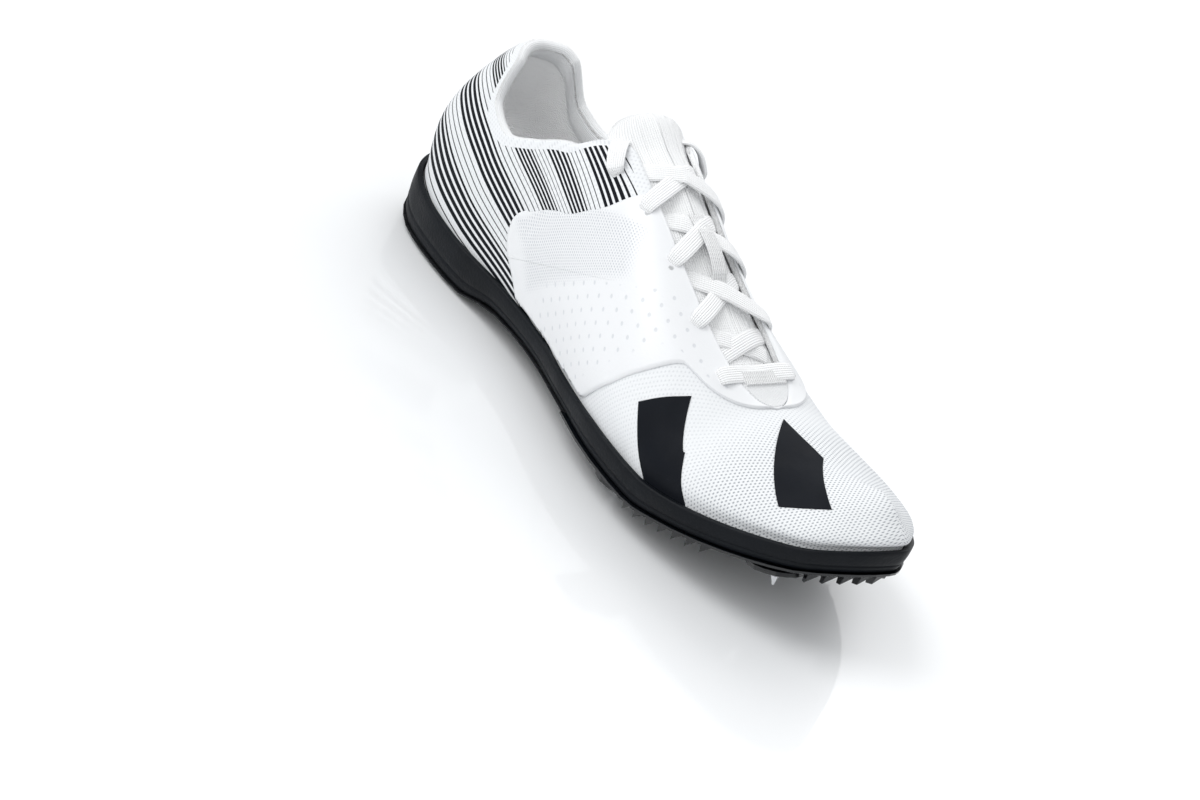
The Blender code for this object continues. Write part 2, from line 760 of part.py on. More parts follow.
def gather(solids):
    """Points and faces of several separate solids as one list."""
    points, faces, count = [], [], 0
    for solid_points, solid_faces in solids:
        points.append(solid_points)
        faces += [[c + count for c in face] for face in solid_faces]
        count += len(solid_points)
    return np.concatenate(points), faces


def plate_teeth():
    """Rows of teeth that lean back, each row set in from the plate's outline."""
    teeth = []
    for _, side, inset, start, end in TEETH:
        fine = np.linspace(station_at(start), station_at(end), CURVE_SAMPLES)
        line = outline(fine, side, inset * BALL_WIDTH)
        travel = np.r_[0, np.cumsum(np.linalg.norm(np.diff(line, axis=0), axis=1))]
        places = np.linspace(0, travel[-1], int(travel[-1] / TOOTH_PITCH) + 1)
        centres = np.stack([np.interp(places, travel, line[:, axis]) for axis in (0, 1)], -1)
        headings = np.gradient(line, travel, axis=0)
        along = np.stack([np.interp(places, travel, headings[:, axis]) for axis in (0, 1)], -1)
        teeth += [wedge(centre, heading, TOOTH_LEAN) for centre, heading in zip(centres, along)]
    return gather(teeth)


def add_spike_plate():
    """Stiff forefoot plate with its saw teeth."""
    solid = skin_solid(ground, skin_top, 0.0)
    plate = add_solid("spike_plate", *solid, BLACK_PLATE, flat=True)
    shape = add_cutter("plate_shape", *prism(plate_edge_polygon(FIT_GAP / 2), -SHOE_LENGTH, SHOE_LENGTH))
    add_boolean(plate, shape, "INTERSECT")
    add_boolean(plate, add_cutter("plate_teeth", *plate_teeth()), "UNION")
    return plate


def frustum(centre, width, low, high, sides, taper):
    """Lug: a polygon that narrows to its foot at height low."""
    turn = np.pi / sides
    ring = [(math.cos(2 * np.pi * i / sides + turn), math.sin(2 * np.pi * i / sides + turn)) for i in range(sides)]
    radius = width / 2 / math.cos(turn)
    points = [(centre[0] + radius * taper * c, centre[1] + radius * taper * s, low) for c, s in ring]
    points += [(centre[0] + radius * c, centre[1] + radius * s, high) for c, s in ring]
    faces = [list(range(sides))[::-1], list(range(sides, 2 * sides))]
    faces += [[i, (i + 1) % sides, (i + 1) % sides + sides, i + sides] for i in range(sides)]
    return np.array(points), faces


def heel_lugs():
    """Small square lugs under the level part of the heel, round a central pad."""
    level_start, level_end = SIDE.places[2] * SHOE_LENGTH, SIDE.places[3] * SHOE_LENGTH
    middle = (level_start + level_end) / 2
    root = LUG_HEIGHT + LUG_ROOT
    lugs = [frustum((middle, 0.0), HEEL_PAD_WIDTH, 0.0, root, 12, PAD_TAPER)]
    reach = int((level_end - level_start) / LUG_PITCH / 2)
    for column in range(-reach, reach + 1):
        x = middle + column * LUG_PITCH
        half = np.abs(outline(station_at(np.array([x / SHOE_LENGTH])), LATERAL)[0, 1])
        lanes = int((half - EDGE_ROUND - LUG_WIDTH) / LUG_PITCH)
        for lane in range(-lanes, lanes + 1):
            y = lane * LUG_PITCH
            if math.hypot(x - middle, y) > (HEEL_PAD_WIDTH + 1.6 * LUG_WIDTH) / 2:
                lugs.append(frustum((x, y), LUG_WIDTH, 0.0, root, 4, LUG_TAPER))
    return gather(lugs)


def add_heel_outsole():
    """Rubber from the heel to the plate, with its lugs on the ground."""
    def underside(x):
        return ground(x) + LUG_HEIGHT

    outsole = add_solid("heel_outsole", *skin_solid(underside, skin_top, SKIN_LEDGE / 2), BLACK_RUBBER, flat=True)
    ahead = add_cutter("outsole_end", *prism(plate_edge_polygon(-FIT_GAP / 2), -SHOE_LENGTH, SHOE_LENGTH))
    add_boolean(outsole, ahead, "DIFFERENCE")
    add_boolean(outsole, add_cutter("outsole_lugs", *heel_lugs()), "UNION")
    return outsole


def turned(profile, sides):
    """Solid of revolution about Z from (radius, height) rows; a closed profile
    loop gives a ring, and a profile that starts and ends on the axis a plug."""
    on_axis = profile[0][0] == 0
    angles = 2 * np.pi * np.arange(sides) / sides
    points = np.array([(r * math.cos(a), r * math.sin(a), z) for r, z in profile for a in angles])
    rows = len(profile)
    faces = []
    for row in range(rows - 1 if on_axis else rows):
        for i in range(sides):
            j = (i + 1) % sides
            a, b = row * sides, ((row + 1) % rows) * sides
            faces.append([a + i, a + j, b + j, b + i])
    return weld(points, faces)


def seat_solid():
    """Seat disc: a ring with a raised crown of nubs around the spike."""
    hole, outer = SEAT_HOLE_WIDTH / 2, SEAT_WIDTH / 2
    recess = SEAT_HEIGHT - SEAT_RECESS
    profile = (
        (hole, 0.0), (hole, -recess), (SEAT_BOWL * outer, -recess), (SEAT_CROWN * outer, -SEAT_HEIGHT),
        (SEAT_FACE * outer, -SEAT_HEIGHT), (outer, -0.75 * SEAT_HEIGHT), (outer, 0.0),
    )
    points, faces = turned(profile, ROUND_SIDES)
    turns = np.round(np.arctan2(points[:, 1], points[:, 0]) / (2 * np.pi / ROUND_SIDES)).astype(int)
    crown = np.isclose(points[:, 2], -SEAT_HEIGHT)
    points[crown & (turns % 2 == 1), 2] += NUB_CUT * SEAT_RECESS
    return points, faces


def spike_solid():
    """Spike: threaded stud in the seat, collar, and a tapered point."""
    stud, collar = SPIKE_STUD_WIDTH / 2, SPIKE_COLLAR_WIDTH / 2
    face = -(SEAT_HEIGHT - SEAT_RECESS) - FIT_GAP
    foot = face - SPIKE_COLLAR_HEIGHT
    tip = -SEAT_HEIGHT - SPIKE_LENGTH
    profile = (
        (0.0, -FIT_GAP), (stud, -FIT_GAP), (stud, face), (collar, face), (collar, foot),
        (SPIKE_WIDTH / 2, foot), (SPIKE_TIP_WIDTH / 2, tip), (0.0, tip),
    )
    return turned(profile, ROUND_SIDES // 2)


def add_spikes():
    """Four seats and spikes, square to the plate where each one stands."""
    for name, along, across in SPIKES:
        x, y = along * SHOE_LENGTH, across * BALL_WIDTH
        step = SPIKE_TIP_WIDTH
        slope = (ground(x + step) - ground(x - step)) / (2 * step)
        place = (x, y, float(ground(x)) - FIT_GAP)
        for kind, solid, finish in (("seat", seat_solid(), BLACK_PLATE), ("spike", spike_solid(), BRIGHT_STEEL)):
            piece = add_solid(f"{kind}_{name}", *solid, finish)
            piece.location = place
            piece.rotation_euler = (0.0, -math.atan(slope), 0.0)


def arch_height(plan):
    """Height of the upper's closed arch over plan points near the spine."""
    x, y = plan[:, 0], plan[:, 1]
    height = np.empty(len(plan))
    for side in SIDES:
        here = (y - spine(station_of_spine(x))[:, 1]) * side >= 0
        spine_x = x[here].copy()
        for _ in range(6):
            ribs = Ribs(station_of_spine(spine_x), side)
            share = (y[here] - ribs.top[:, 1]) / (ribs.foot[:, 1] - ribs.top[:, 1])
            spine_x = x[here] - (ribs.foot[:, 0] - ribs.top[:, 0]) * share
        ribs = Ribs(station_of_spine(spine_x), side)
        share = np.clip((y[here] - ribs.top[:, 1]) / (ribs.foot[:, 1] - ribs.top[:, 1]), 0, 1)
        height[here] = ribs.base + ribs.rise * (1 - share**ribs.power) ** (1 / ribs.power)
    return height


def patch(corners, columns, rows):
    """Bilinear grid of plan points between four corners, in order round it."""
    a, b, c, d = (np.array(corner, float) for corner in corners)
    u = np.linspace(0, 1, columns + 1)[:, None, None]
    v = np.linspace(0, 1, rows + 1)[None, :, None]
    return a * (1 - u) * (1 - v) + b * u * (1 - v) + c * u * v + d * (1 - u) * v


def eyelet(pair):
    """Plan place of the medial eyelet of a pair, and its distance off the spine.

    It lies EYELET_INSET from the throat's edge, measured down the upper."""
    spine_x = THROAT_TOP + THROAT_LENGTH * EYELETS[pair]
    ribs = Ribs(station_of_spine(np.full(CURVE_SAMPLES, spine_x)), MEDIAL)
    path = ribs.points(ribs.edge_angle() * np.linspace(1, 0, CURVE_SAMPLES))
    travel = np.r_[0, np.cumsum(np.linalg.norm(np.diff(path, axis=0), axis=1))]
    off_spine = np.linalg.norm(path[:, :2] - ribs.top, axis=1)
    return np.interp(EYELET_INSET, travel, path[:, 0]), np.interp(EYELET_INSET, travel, off_spine)


def drape_lace(name, patches, spread):
    """Flat lace solid over the eyestays, hanging lower between them."""
    points, faces, count = [], [], 0
    for grid in patches:
        columns, rows = grid.shape[:2]
        points.append(grid.reshape(-1, 2))
        faces += [list(face) for face in grid_faces(columns, rows, LATERAL, count)]
        count += columns * rows
    plan = np.concatenate(points)
    sheet, faces = weld(np.c_[plan, arch_height(plan)], faces)
    shape = sheet_normals(sheet, faces)
    if shape[:, 2].mean() < 0:
        faces = [face[::-1] for face in faces]
    ride = OVERLAY_GAP + OVERLAY_THICKNESS + FIT_GAP
    middle = (1 - np.clip(np.abs(sheet[:, 1]) / spread, 0, 1) ** 2) ** 2
    low = ride - LACE_SAG * middle
    return add_solid(name, *thicken(sheet, faces, low, low + LACE_THICKNESS), WHITE_LACE)


def add_lace_bar():
    """Straight bar between the two lowest eyelets."""
    x, reach = eyelet(0)
    half = LACE_WIDTH / 2
    bar = patch(((x - half, -reach), (x + half, -reach), (x + half, reach), (x - half, reach)), 2, 12)
    drape_lace("lace_bar", [bar], reach - 2 * EYELET_INSET)


def add_lace_crossing(pair):
    """Crossing of both lace ends: out of one eyelet pair, under the next edges."""
    tuck = EYELET_INSET + 2 * FIT_GAP + LACE_THICKNESS
    low_x, low_reach = eyelet(pair)
    high_x, high_reach = eyelet(pair + 1)
    spread = low_reach - EYELET_INSET
    if pair == 0:
        low_x, low_reach = low_x - FIRST_CROSSING_START * LACE_WIDTH, low_reach - tuck
    end_x = low_x + (high_x - low_x) * CROSSING_REACH
    end_reach = high_reach - tuck
    cross_x = low_x + (end_x - low_x) * low_reach / (low_reach + end_reach)
    angle = math.atan2(low_reach, low_x - cross_x)
    half = LACE_WIDTH / 2
    tip_x, tip_y = half / math.sin(angle), half / math.cos(angle)
    rhomb = {"fore": (cross_x + tip_x, 0), "aft": (cross_x - tip_x, 0)}
    rhomb["lateral"], rhomb["medial"] = (cross_x, -tip_y), (cross_x, tip_y)
    patches = [patch((rhomb["fore"], rhomb["medial"], rhomb["aft"], rhomb["lateral"]), 2, 2)]
    skew_x, skew_y = half * math.sin(angle), half * math.cos(angle)
    for side, flank in ((LATERAL, "lateral"), (MEDIAL, "medial")):
        inner = (low_x + skew_x, side * (low_reach - skew_y))
        outer = (low_x - skew_x, side * (low_reach + skew_y))
        patches.append(patch((rhomb["fore"], inner, outer, rhomb[flank]), 7, 2))
        inner = (end_x - skew_x, side * (end_reach - skew_y))
        outer = (end_x + skew_x, side * (end_reach + skew_y))
        patches.append(patch((rhomb["aft"], inner, outer, rhomb[flank]), 3, 2))
    for index, grid in enumerate(patches):
        first, second = grid[1, 0] - grid[0, 0], grid[0, 1] - grid[0, 0]
        if first[0] * second[1] - first[1] * second[0] < 0:
            patches[index] = grid[:, ::-1]
    drape_lace(f"lace_crossing_{pair + 1}", patches, spread)


def add_lace_keeper():
    """Webbing loop on the tongue's middle that the lace passes under."""
    x = THROAT_TOP + THROAT_LENGTH * EYELETS[3]
    half = KEEPER_WIDTH / 2
    strip = patch(((x, -half), (x + KEEPER_LENGTH, -half), (x + KEEPER_LENGTH, half), (x, half)), 8, 2)
    plan = strip.reshape(-1, 2)
    faces = [list(face) for face in grid_faces(9, 3, LATERAL)]
    sheet, faces = weld(np.c_[plan, arch_height(plan)], faces)
    low = -TONGUE_SINK + FIT_GAP
    add_solid("tongue_lace_keeper", *thicken(sheet, faces, low, low + KEEPER_THICKNESS), WHITE_LACE)


def centre_on_origin():
    """Put the middle of the shoe's plan over the origin."""
    midsole = bpy.data.objects["midsole"]
    plan = np.array([vertex.co[:2] for vertex in midsole.data.vertices])
    middle = (plan.min(0) + plan.max(0)) / 2
    for solid in bpy.data.objects:
        solid.location.x -= middle[0]
        solid.location.y -= middle[1]


def main():
    for old in list(bpy.data.objects):
        bpy.data.objects.remove(old, do_unlink=True)
    add_heel_outsole()
    add_spike_plate()
    add_spikes()
    add_midsole()
    add_insole()
    add_upper()
    add_overlay()
    add_tongue()
    add_lace_keeper()
    add_lace_bar()
    for pair in range(len(EYELETS) - 1):
        add_lace_crossing(pair)
    centre_on_origin()


main()
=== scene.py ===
"""Looks of the track spike shoe, a right shoe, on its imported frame.

Frame: +X runs from heel to toe, +Y is the medial side, +Z is up, in metres. The
shoe's own sizes are measured from its heel, so every point is moved by ORIGIN
when it goes into a mesh. The last's ribs run from the plan outline to a spine
line, at stations q from 0 at the heel to 1 at the toe.
"""
import logging
import math
from collections.abc import Callable
from dataclasses import dataclass, field
from enum import Enum

import bpy
import numpy as np
from mathutils import Matrix, Vector


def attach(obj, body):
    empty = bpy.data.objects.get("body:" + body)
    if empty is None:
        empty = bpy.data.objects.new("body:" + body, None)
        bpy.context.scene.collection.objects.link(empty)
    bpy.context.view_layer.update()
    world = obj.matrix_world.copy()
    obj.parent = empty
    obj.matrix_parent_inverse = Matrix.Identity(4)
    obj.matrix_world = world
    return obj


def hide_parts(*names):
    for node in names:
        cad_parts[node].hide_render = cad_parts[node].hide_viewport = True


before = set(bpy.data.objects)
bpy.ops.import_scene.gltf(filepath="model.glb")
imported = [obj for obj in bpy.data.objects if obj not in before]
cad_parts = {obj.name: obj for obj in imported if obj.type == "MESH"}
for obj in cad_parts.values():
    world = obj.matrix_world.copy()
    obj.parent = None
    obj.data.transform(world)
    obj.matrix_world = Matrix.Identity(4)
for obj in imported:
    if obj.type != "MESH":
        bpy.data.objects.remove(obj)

Array = np.ndarray
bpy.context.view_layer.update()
MM = 0.001
ORIGIN = np.array([139.0, 1.4202, 0.0]) * MM
LATERAL, MEDIAL = -1, 1
SIDES = (LATERAL, MEDIAL)
SIDE_NAMES = {LATERAL: "lateral", MEDIAL: "medial"}
LOG = logging.getLogger("shoe")

# Eyelet pairs from the toe end, as shares of the throat's length, and how far they lie
# down from the throat's edge.
EYELETS = (0.850, 0.665, 0.475, 0.285, 0.115)
EYELET_INSET = 5.5 * MM

# Points along a rib, round the outline and down to an eyelet, where lengths are measured.
RIB_SAMPLES, OUTLINE_SAMPLES, EYELET_SAMPLES = 97, 400, 80

# Stations on either side of a place where the outline's direction is read.
STATION_STEP = 1e-4

# Points that round to the same multiple of this are welded.
WELD = 2e-6

# The walls' bulge: how high it reaches on a rib, and how far its belly hangs down.
BULGE_REACH, BULGE_HANG = 0.85, 0.75

# The throat's taper from end to end, and how square its toe end is.
THROAT_TAPER, THROAT_SQUARE = 0.20, 9

# Radii round an eyelet's centre between which the painted shade of its hole fades, and how dark it is.
HOLE_DARK, HOLE_CLEAR, HOLE_SHARE = 0.7 * MM, 1.3 * MM, 0.45

# Soft troughs in the upper: plan line from x, y to x, y, then width and depth.
CREASES = (
    (0.176, -0.036, 0.200, -0.052, 3.5 * MM, -0.55 * MM),
    (0.186, -0.028, 0.214, -0.046, 3.5 * MM, -0.45 * MM),
    (0.176, 0.036, 0.200, 0.052, 3.5 * MM, -0.55 * MM),
    (0.055, -0.036, 0.070, -0.049, 5.0 * MM, -0.50 * MM),
    (0.228, -0.020, 0.236, 0.018, 4.5 * MM, -0.35 * MM),
)


def smooth(knots: Array, values: Array, at: Array, flat_peaks: bool = True) -> Array:
    """Cubic curve through knots and values, whose tangents are harmonic or plain mean slopes.

    Args:
        knots: rising places.
        values: the curve's values there.
        at: places to read.
        flat_peaks: never overshoot the rows.

    Returns:
        The curve at the places.
    """
    knots, values, at = (np.asarray(a, float) for a in (knots, values, at))
    step = np.diff(knots)
    slope = np.diff(values) / step
    before, after = slope[:-1], slope[1:]
    tangent = np.empty_like(values)
    tangent[0], tangent[-1] = slope[0], slope[-1]
    if flat_peaks:
        with np.errstate(divide="ignore", invalid="ignore"):
            weight_a, weight_b = 2 * step[1:] + step[:-1], step[1:] + 2 * step[:-1]
            mean = (weight_a + weight_b) / (weight_a / before + weight_b / after)
        tangent[1:-1] = np.where(before * after > 0, mean, 0.0)
    else:
        tangent[1:-1] = (before * step[1:] + after * step[:-1]) / (step[1:] + step[:-1])
    cell = np.clip(np.searchsorted(knots, at, side="right") - 1, 0, len(step) - 1)
    t = np.clip((at - knots[cell]) / step[cell], 0, 1)
    bend = t * (1 - t) ** 2 * tangent[cell] + t * t * (t - 1) * tangent[cell + 1]
    rise = t * t * (3 - 2 * t)
    return values[cell] * (1 - rise) + values[cell + 1] * rise + bend * step[cell]


def ease(start: float, end: float, value: Array) -> Array:
    """Smooth step from 0 at start to 1 at end."""
    t = np.clip((value - start) / (end - start), 0, 1)
    return t * t * (3 - 2 * t)


def unit(vectors: Array) -> Array:
    """Vectors divided by their lengths."""
    return vectors / np.maximum(np.linalg.norm(vectors, axis=-1, keepdims=True), 1e-12)


def walked(path: Array) -> Array:
    """Length walked along a path to each of its points."""
    return np.r_[0, np.cumsum(np.linalg.norm(np.diff(path, axis=0), axis=1))]


def superellipse(turn: Array, square: float) -> tuple[Array, Array]:
    """Ring |a|^n + |b|^n = 1, from the signed powers 2 / n of cosine and sine.

    Args:
        turn: angles round the ring.
        square: exponent n.

    Returns:
        The ring's a and b.
    """
    wave = np.stack([np.cos(turn), np.sin(turn)])
    a, b = np.sign(wave) * np.abs(wave) ** (2 / square)
    return a, b


def grid_quads(shape: tuple[int, int], first: int = 0) -> Array:
    """Quads of a grid of points.

    Args:
        shape: how many points the grid has each way.
        first: number of its first point.

    Returns:
        Rows of four corners.
    """
    index = first + np.arange(shape[0] * shape[1]).reshape(shape)
    cells = [index[:-1, :-1], index[1:, :-1], index[1:, 1:], index[:-1, 1:]]
    return np.stack(cells, -1).reshape(-1, 4)


class Table:
    """Rows of shares with named columns, the first of which is the place."""

    def __init__(self, columns: str, *rows: tuple) -> None:
        """Keeps each named column as an array."""
        self.values = dict(zip(columns.split(), np.array(rows, float).T))
        self.places = self.values[columns.split()[0]]

    def read(self, column: str, place: Array) -> Array:
        """Smooth value of a column at a place."""
        return smooth(self.places, self.values[column], place)


@dataclass(frozen=True)
class Last:
    """The form that every layer of the shoe is read from, with its sizes and tables."""

    length: float = 278 * MM
    ball: float = 97 * MM
    instep: float = 100 * MM
    collar: float = 75 * MM
    heel_stack: float = 15 * MM
    forefoot_stack: float = 6.5 * MM
    clearance: float = 8.6 * MM
    bevel: float = 7 * MM
    spring: float = 26 * MM
    rim_height: float = 6 * MM
    rim_width: float = 2.6 * MM
    gap: float = 0.3 * MM
    bulge: float = 4 * MM
    throat_top: float = 108 * MM
    throat_length: float = 95 * MM
    throat_width: float = 33 * MM
    throat_corner: float = 14 * MM
    spine_from_heel: float = 37 * MM
    spine_from_toe: float = 20 * MM
    spine_swing: float = 0.075
    plan: Table = Table(
        "along lateral medial",
        (0.000, 0.000, 0.000), (0.031, 0.205, 0.205), (0.087, 0.275, 0.272), (0.174, 0.305, 0.325),
        (0.308, 0.300, 0.319), (0.420, 0.336, 0.285), (0.513, 0.403, 0.272), (0.595, 0.455, 0.320),
        (0.677, 0.478, 0.425), (0.759, 0.465, 0.500), (0.841, 0.409, 0.494), (0.912, 0.315, 0.408),
        (0.953, 0.236, 0.302), (0.981, 0.120, 0.196), (1.000, -0.075, 0.075),
    )
    side: Table = Table(
        "along bevel lift spring heel rim",
        (0.000, 1.00, 0.00, 0.000, 1.00, 1.60), (0.036, 0.30, 0.00, 0.000, 1.00, 1.20),
        (0.079, 0.00, 0.00, 0.000, 1.00, 0.80), (0.223, 0.00, 0.00, 0.000, 1.00, 0.50),
        (0.306, 0.00, 0.70, 0.000, 0.95, 0.60), (0.414, 0.00, 0.96, 0.000, 0.80, 0.73),
        (0.523, 0.00, 1.08, 0.000, 0.50, 0.82), (0.615, 0.00, 1.00, 0.000, 0.10, 1.00),
        (0.713, 0.00, 1.00, 0.000, 0.00, 1.02), (0.783, 0.00, 1.00, 0.148, 0.00, 0.88),
        (0.863, 0.00, 1.00, 0.389, 0.00, 0.86), (0.942, 0.00, 1.00, 0.687, 0.00, 0.84),
        (1.000, 0.00, 1.00, 1.000, 0.00, 1.00),
    )
    body: Table = Table(
        "along crown square",
        (0.133, 0.800, 2.35), (0.185, 0.865, 2.50), (0.251, 0.890, 2.60), (0.338, 0.870, 3.80),
        (0.410, 0.807, 4.20), (0.482, 0.714, 3.90), (0.554, 0.606, 3.50), (0.620, 0.505, 3.00),
        (0.684, 0.419, 2.50), (0.738, 0.354, 2.30), (0.800, 0.304, 2.20), (0.861, 0.266, 2.20),
        (0.912, 0.262, 2.20), (0.930, 0.264, 2.30),
    )
    wrap: Table = Table(
        "along edge bulge pad",
        (0.000, 1.000, 1.00, 1.0), (0.031, 1.000, 0.90, 1.0), (0.072, 0.955, 0.60, 1.0),
        (0.123, 0.720, 0.40, 1.0), (0.174, 0.665, 0.30, 1.0), (0.226, 0.750, 0.25, 1.0),
        (0.277, 0.875, 0.25, 0.8), (0.328, 0.945, 0.25, 0.2), (0.379, 1.025, 0.30, 0.0),
        (0.461, 1.030, 0.35, 0.0), (0.718, 1.030, 0.45, 0.0), (1.000, 1.030, 0.80, 0.0),
    )

    def station_at(self, share: Array) -> Array:
        """Station of a place along the shoe: the inverse cosine spacing."""
        return np.arccos(np.clip(1 - 2 * np.asarray(share, float), -1, 1)) / np.pi

    def share_at(self, station: Array) -> Array:
        """Place along the shoe of a station, (1 - cos(pi q)) / 2."""
        return (1 - np.cos(np.pi * np.asarray(station, float))) / 2

    def outline(self, station: Array, side: int, inset: float = 0.0) -> Array:
        """Plan points of the outline, moved in along its normal.

        Args:
            station: stations of the points.
            side: LATERAL or MEDIAL.
            inset: distance inwards.

        Returns:
            Points with x and y as their last axis.
        """
        column = self.plan.values["lateral" if side == LATERAL else "medial"]
        knots = self.station_at(self.plan.places)
        ahead, behind = (np.clip(station + step, 0, 1) for step in (STATION_STEP, -STATION_STEP))
        y, y_ahead, y_behind = (
            side * self.ball * smooth(knots, column, q, flat_peaks=False)
            for q in (station, ahead, behind)
        )
        along = self.length * np.pi / 2 * np.sin(np.pi * station)
        across = (y_ahead - y_behind) / (ahead - behind)
        size = np.hypot(along, across)
        x = self.length * self.share_at(station) + side * inset * across / size
        return np.stack([x, y - side * inset * along / size], -1)

    def spine(self, station: Array) -> Array:
        """Plan points of the spine line, straight and then swung to the big toe.

        Args:
            station: stations of the points.

        Returns:
            Points with x and y as their last axis.
        """
        reach = self.length - self.spine_from_heel - self.spine_from_toe
        x = self.spine_from_heel + reach * self.share_at(station)
        return np.stack([x, self.ball * self.spine_swing * ease(0.5, 1.0, x / self.length)], -1)

    def station_of_spine(self, x: Array) -> Array:
        """Station whose rib meets the spine line at x."""
        reach = self.length - self.spine_from_heel - self.spine_from_toe
        return self.station_at((x - self.spine_from_heel) / reach)

    def ground(self, x: Array) -> Array:
        """Height of the sole's underside: heel bevel, spike lift and toe spring added up.

        Args:
            x: places along the shoe.

        Returns:
            Heights.
        """
        share = x / self.length
        read = self.side.read
        lift = self.clearance * read("lift", share) + self.spring * read("spring", share)
        return self.bevel * read("bevel", share) + lift

    def bed(self, x: Array) -> Array:
        """Height of the bed under the insole: heel stack faded into the forefoot's.

        Args:
            x: places along the shoe.

        Returns:
            Heights.
        """
        share = x / self.length
        heel = self.side.read("heel", share)
        front = self.clearance + self.forefoot_stack
        spring = self.spring * self.side.read("spring", share)
        return self.heel_stack * heel + front * (1 - heel) + spring

    def rim(self, x: Array) -> Array:
        """Height of the midsole's raised rim."""
        return self.bed(x) + self.rim_height * self.side.read("rim", x / self.length)

    def throat_half(self, x: Array) -> Array:
        """Half width of the throat, tapered, with a round toe end.

        Args:
            x: places on the spine.

        Returns:
            Half widths.
        """
        place = np.clip((x - self.throat_top) / self.throat_length, 0, 1)
        taper = 1 - THROAT_TAPER * place
        return self.throat_width / 2 * taper * np.sqrt(1 - place**THROAT_SQUARE)


class Rib:
    """Superellipse ribs from the outline to the spine, at stations on one side."""

    def __init__(self, last: Last, station: Array, side: int) -> None:
        """Works out foot, top, rise and power of each rib.

        Args:
            last: the form.
            station: stations of the ribs.
            side: LATERAL or MEDIAL.
        """
        self.last = last
        self.foot = last.outline(station, side, last.rim_width + last.gap)
        self.top = last.spine(station)
        self.along = self.foot[..., 0] / last.length
        run = self.top - self.foot
        self.width = np.linalg.norm(run, axis=-1)
        self.inward = run / self.width[..., None]
        self.base = last.bed(self.foot[..., 0]) + last.gap
        share = self.top[..., 0] / last.length
        self.rise = last.bed(self.top[..., 0]) + last.instep * last.body.read("crown", share) - self.base
        self.power = last.body.read("square", share)

    def points(self, angle: Array) -> Array:
        """Outside of the upper: across 1 - cos(a)^(2/n), up sin(a)^(2/n), less a soft wall bulge.

        Args:
            angle: rib angles from 0 at the rim to pi / 2 at the crown.

        Returns:
            Points with x, y and z as their last axis.
        """
        across = 1 - np.clip(np.cos(angle), 0, 1) ** (2 / self.power)
        height = self.rise * np.clip(np.sin(angle), 0, 1) ** (2 / self.power)
        start = self.last.rim_height * self.last.side.read("rim", self.along)
        place = np.clip((height - start) / (BULGE_REACH * self.rise - start), 0, 1)
        bulge = self.last.bulge * self.last.wrap.read("bulge", self.along)
        bulge = bulge * np.sin(np.pi * place**BULGE_HANG) ** 2
        plan = self.foot + self.inward * (self.width * across - bulge)[..., None]
        return np.concatenate([plan, (self.base + height)[..., None]], -1)

    def edge_angle(self) -> Array:
        """Angle where the upper ends: at the topline, then at the throat, then closed.

        Returns:
            The angle of each rib's upper end.
        """
        height = self.last.collar * self.last.wrap.read("edge", self.along)
        topline = np.arcsin(np.clip(height / self.rise, 0, 1) ** (self.power / 2))
        half = np.clip(self.last.throat_half(self.top[..., 0]) / self.width, 0, 1)
        throat = np.arccos(half ** (self.power / 2))
        start, corner = self.last.throat_top, self.last.throat_corner
        turned = ease(start - corner / 2, start + corner / 2, self.top[..., 0])
        return topline + (throat - topline) * turned


@dataclass
class Grid:
    """Points on the last with what patterns need.

    cloth holds metres along the shoe and from the spine, below the way down from the top,
    ahead the place along the spine, and share the share of the girth.
    """

    points: Array
    cloth: Array
    below: Array
    ahead: Array
    share: Array


def read_wall(last: Last, stations: Array, side: int, shares: Array, low: Array | None = None,
              high: Array | None = None) -> Grid:
    """Grid up the ribs, with rows at equal shares of each rib's girth.

    Args:
        last: the form.
        stations: stations as one row, or a station for every point.
        side: LATERAL or MEDIAL.
        shares: shares of the girth from low to high.
        low: lowest angles, 0 where left out.
        high: highest angles, the upper's edge where left out.

    Returns:
        The grid, whose cloth coordinates are metres along the shoe and from the spine.
    """
    stations, shares = np.broadcast_arrays(np.asarray(stations, float).reshape(len(stations), -1), shares)
    shape = stations.shape
    q = stations.reshape(-1, 1) if np.ptp(stations, axis=1).max() > 0 else stations[:, :1]
    wanted = shares.reshape(len(q), -1)
    fine = np.linspace(0, 1, RIB_SAMPLES)
    rib = Rib(last, np.broadcast_to(q, (len(q), len(fine))), side)
    edge = rib.edge_angle()[:, :1]
    bottom = 0 * edge if low is None else np.reshape(low, (-1, 1)) * np.ones_like(edge)
    top = edge if high is None else np.reshape(high, (-1, 1)) * np.ones_like(edge)
    angle = bottom + (top - bottom) * fine
    path = rib.points(angle)
    crown = rib.points(top + (np.pi / 2 - top) * fine)
    rest = np.linalg.norm(np.diff(crown, axis=1), axis=2).sum(1)
    travel = np.cumsum(np.linalg.norm(np.diff(path, axis=1), axis=2), axis=1)
    travel = np.concatenate([np.zeros((len(q), 1)), travel], 1)
    total = travel[:, -1:]
    row = 2 * np.arange(len(q))[:, None]
    known = (travel / np.maximum(total, 1e-9) + row).ravel()
    points = np.stack(
        [np.interp((wanted + row).ravel(), known, path[..., axis].ravel()) for axis in range(3)], -1
    ).reshape(*wanted.shape, 3)
    below = (1 - wanted) * total
    arc = np.linspace(0, 1, OUTLINE_SAMPLES)
    foot = walked(last.outline(arc, side))
    spine_x = last.spine(q)[..., 0]
    along = np.interp(q, arc, foot) * (1 - wanted) + (spine_x + last.spine_from_toe) * wanted
    cloth = np.stack([along, side * (below + rest[:, None])], -1)
    return Grid(points.reshape(*shape, 3), cloth.reshape(*shape, 2), below.reshape(shape),
                np.broadcast_to(spine_x, wanted.shape).reshape(shape), wanted.reshape(shape))


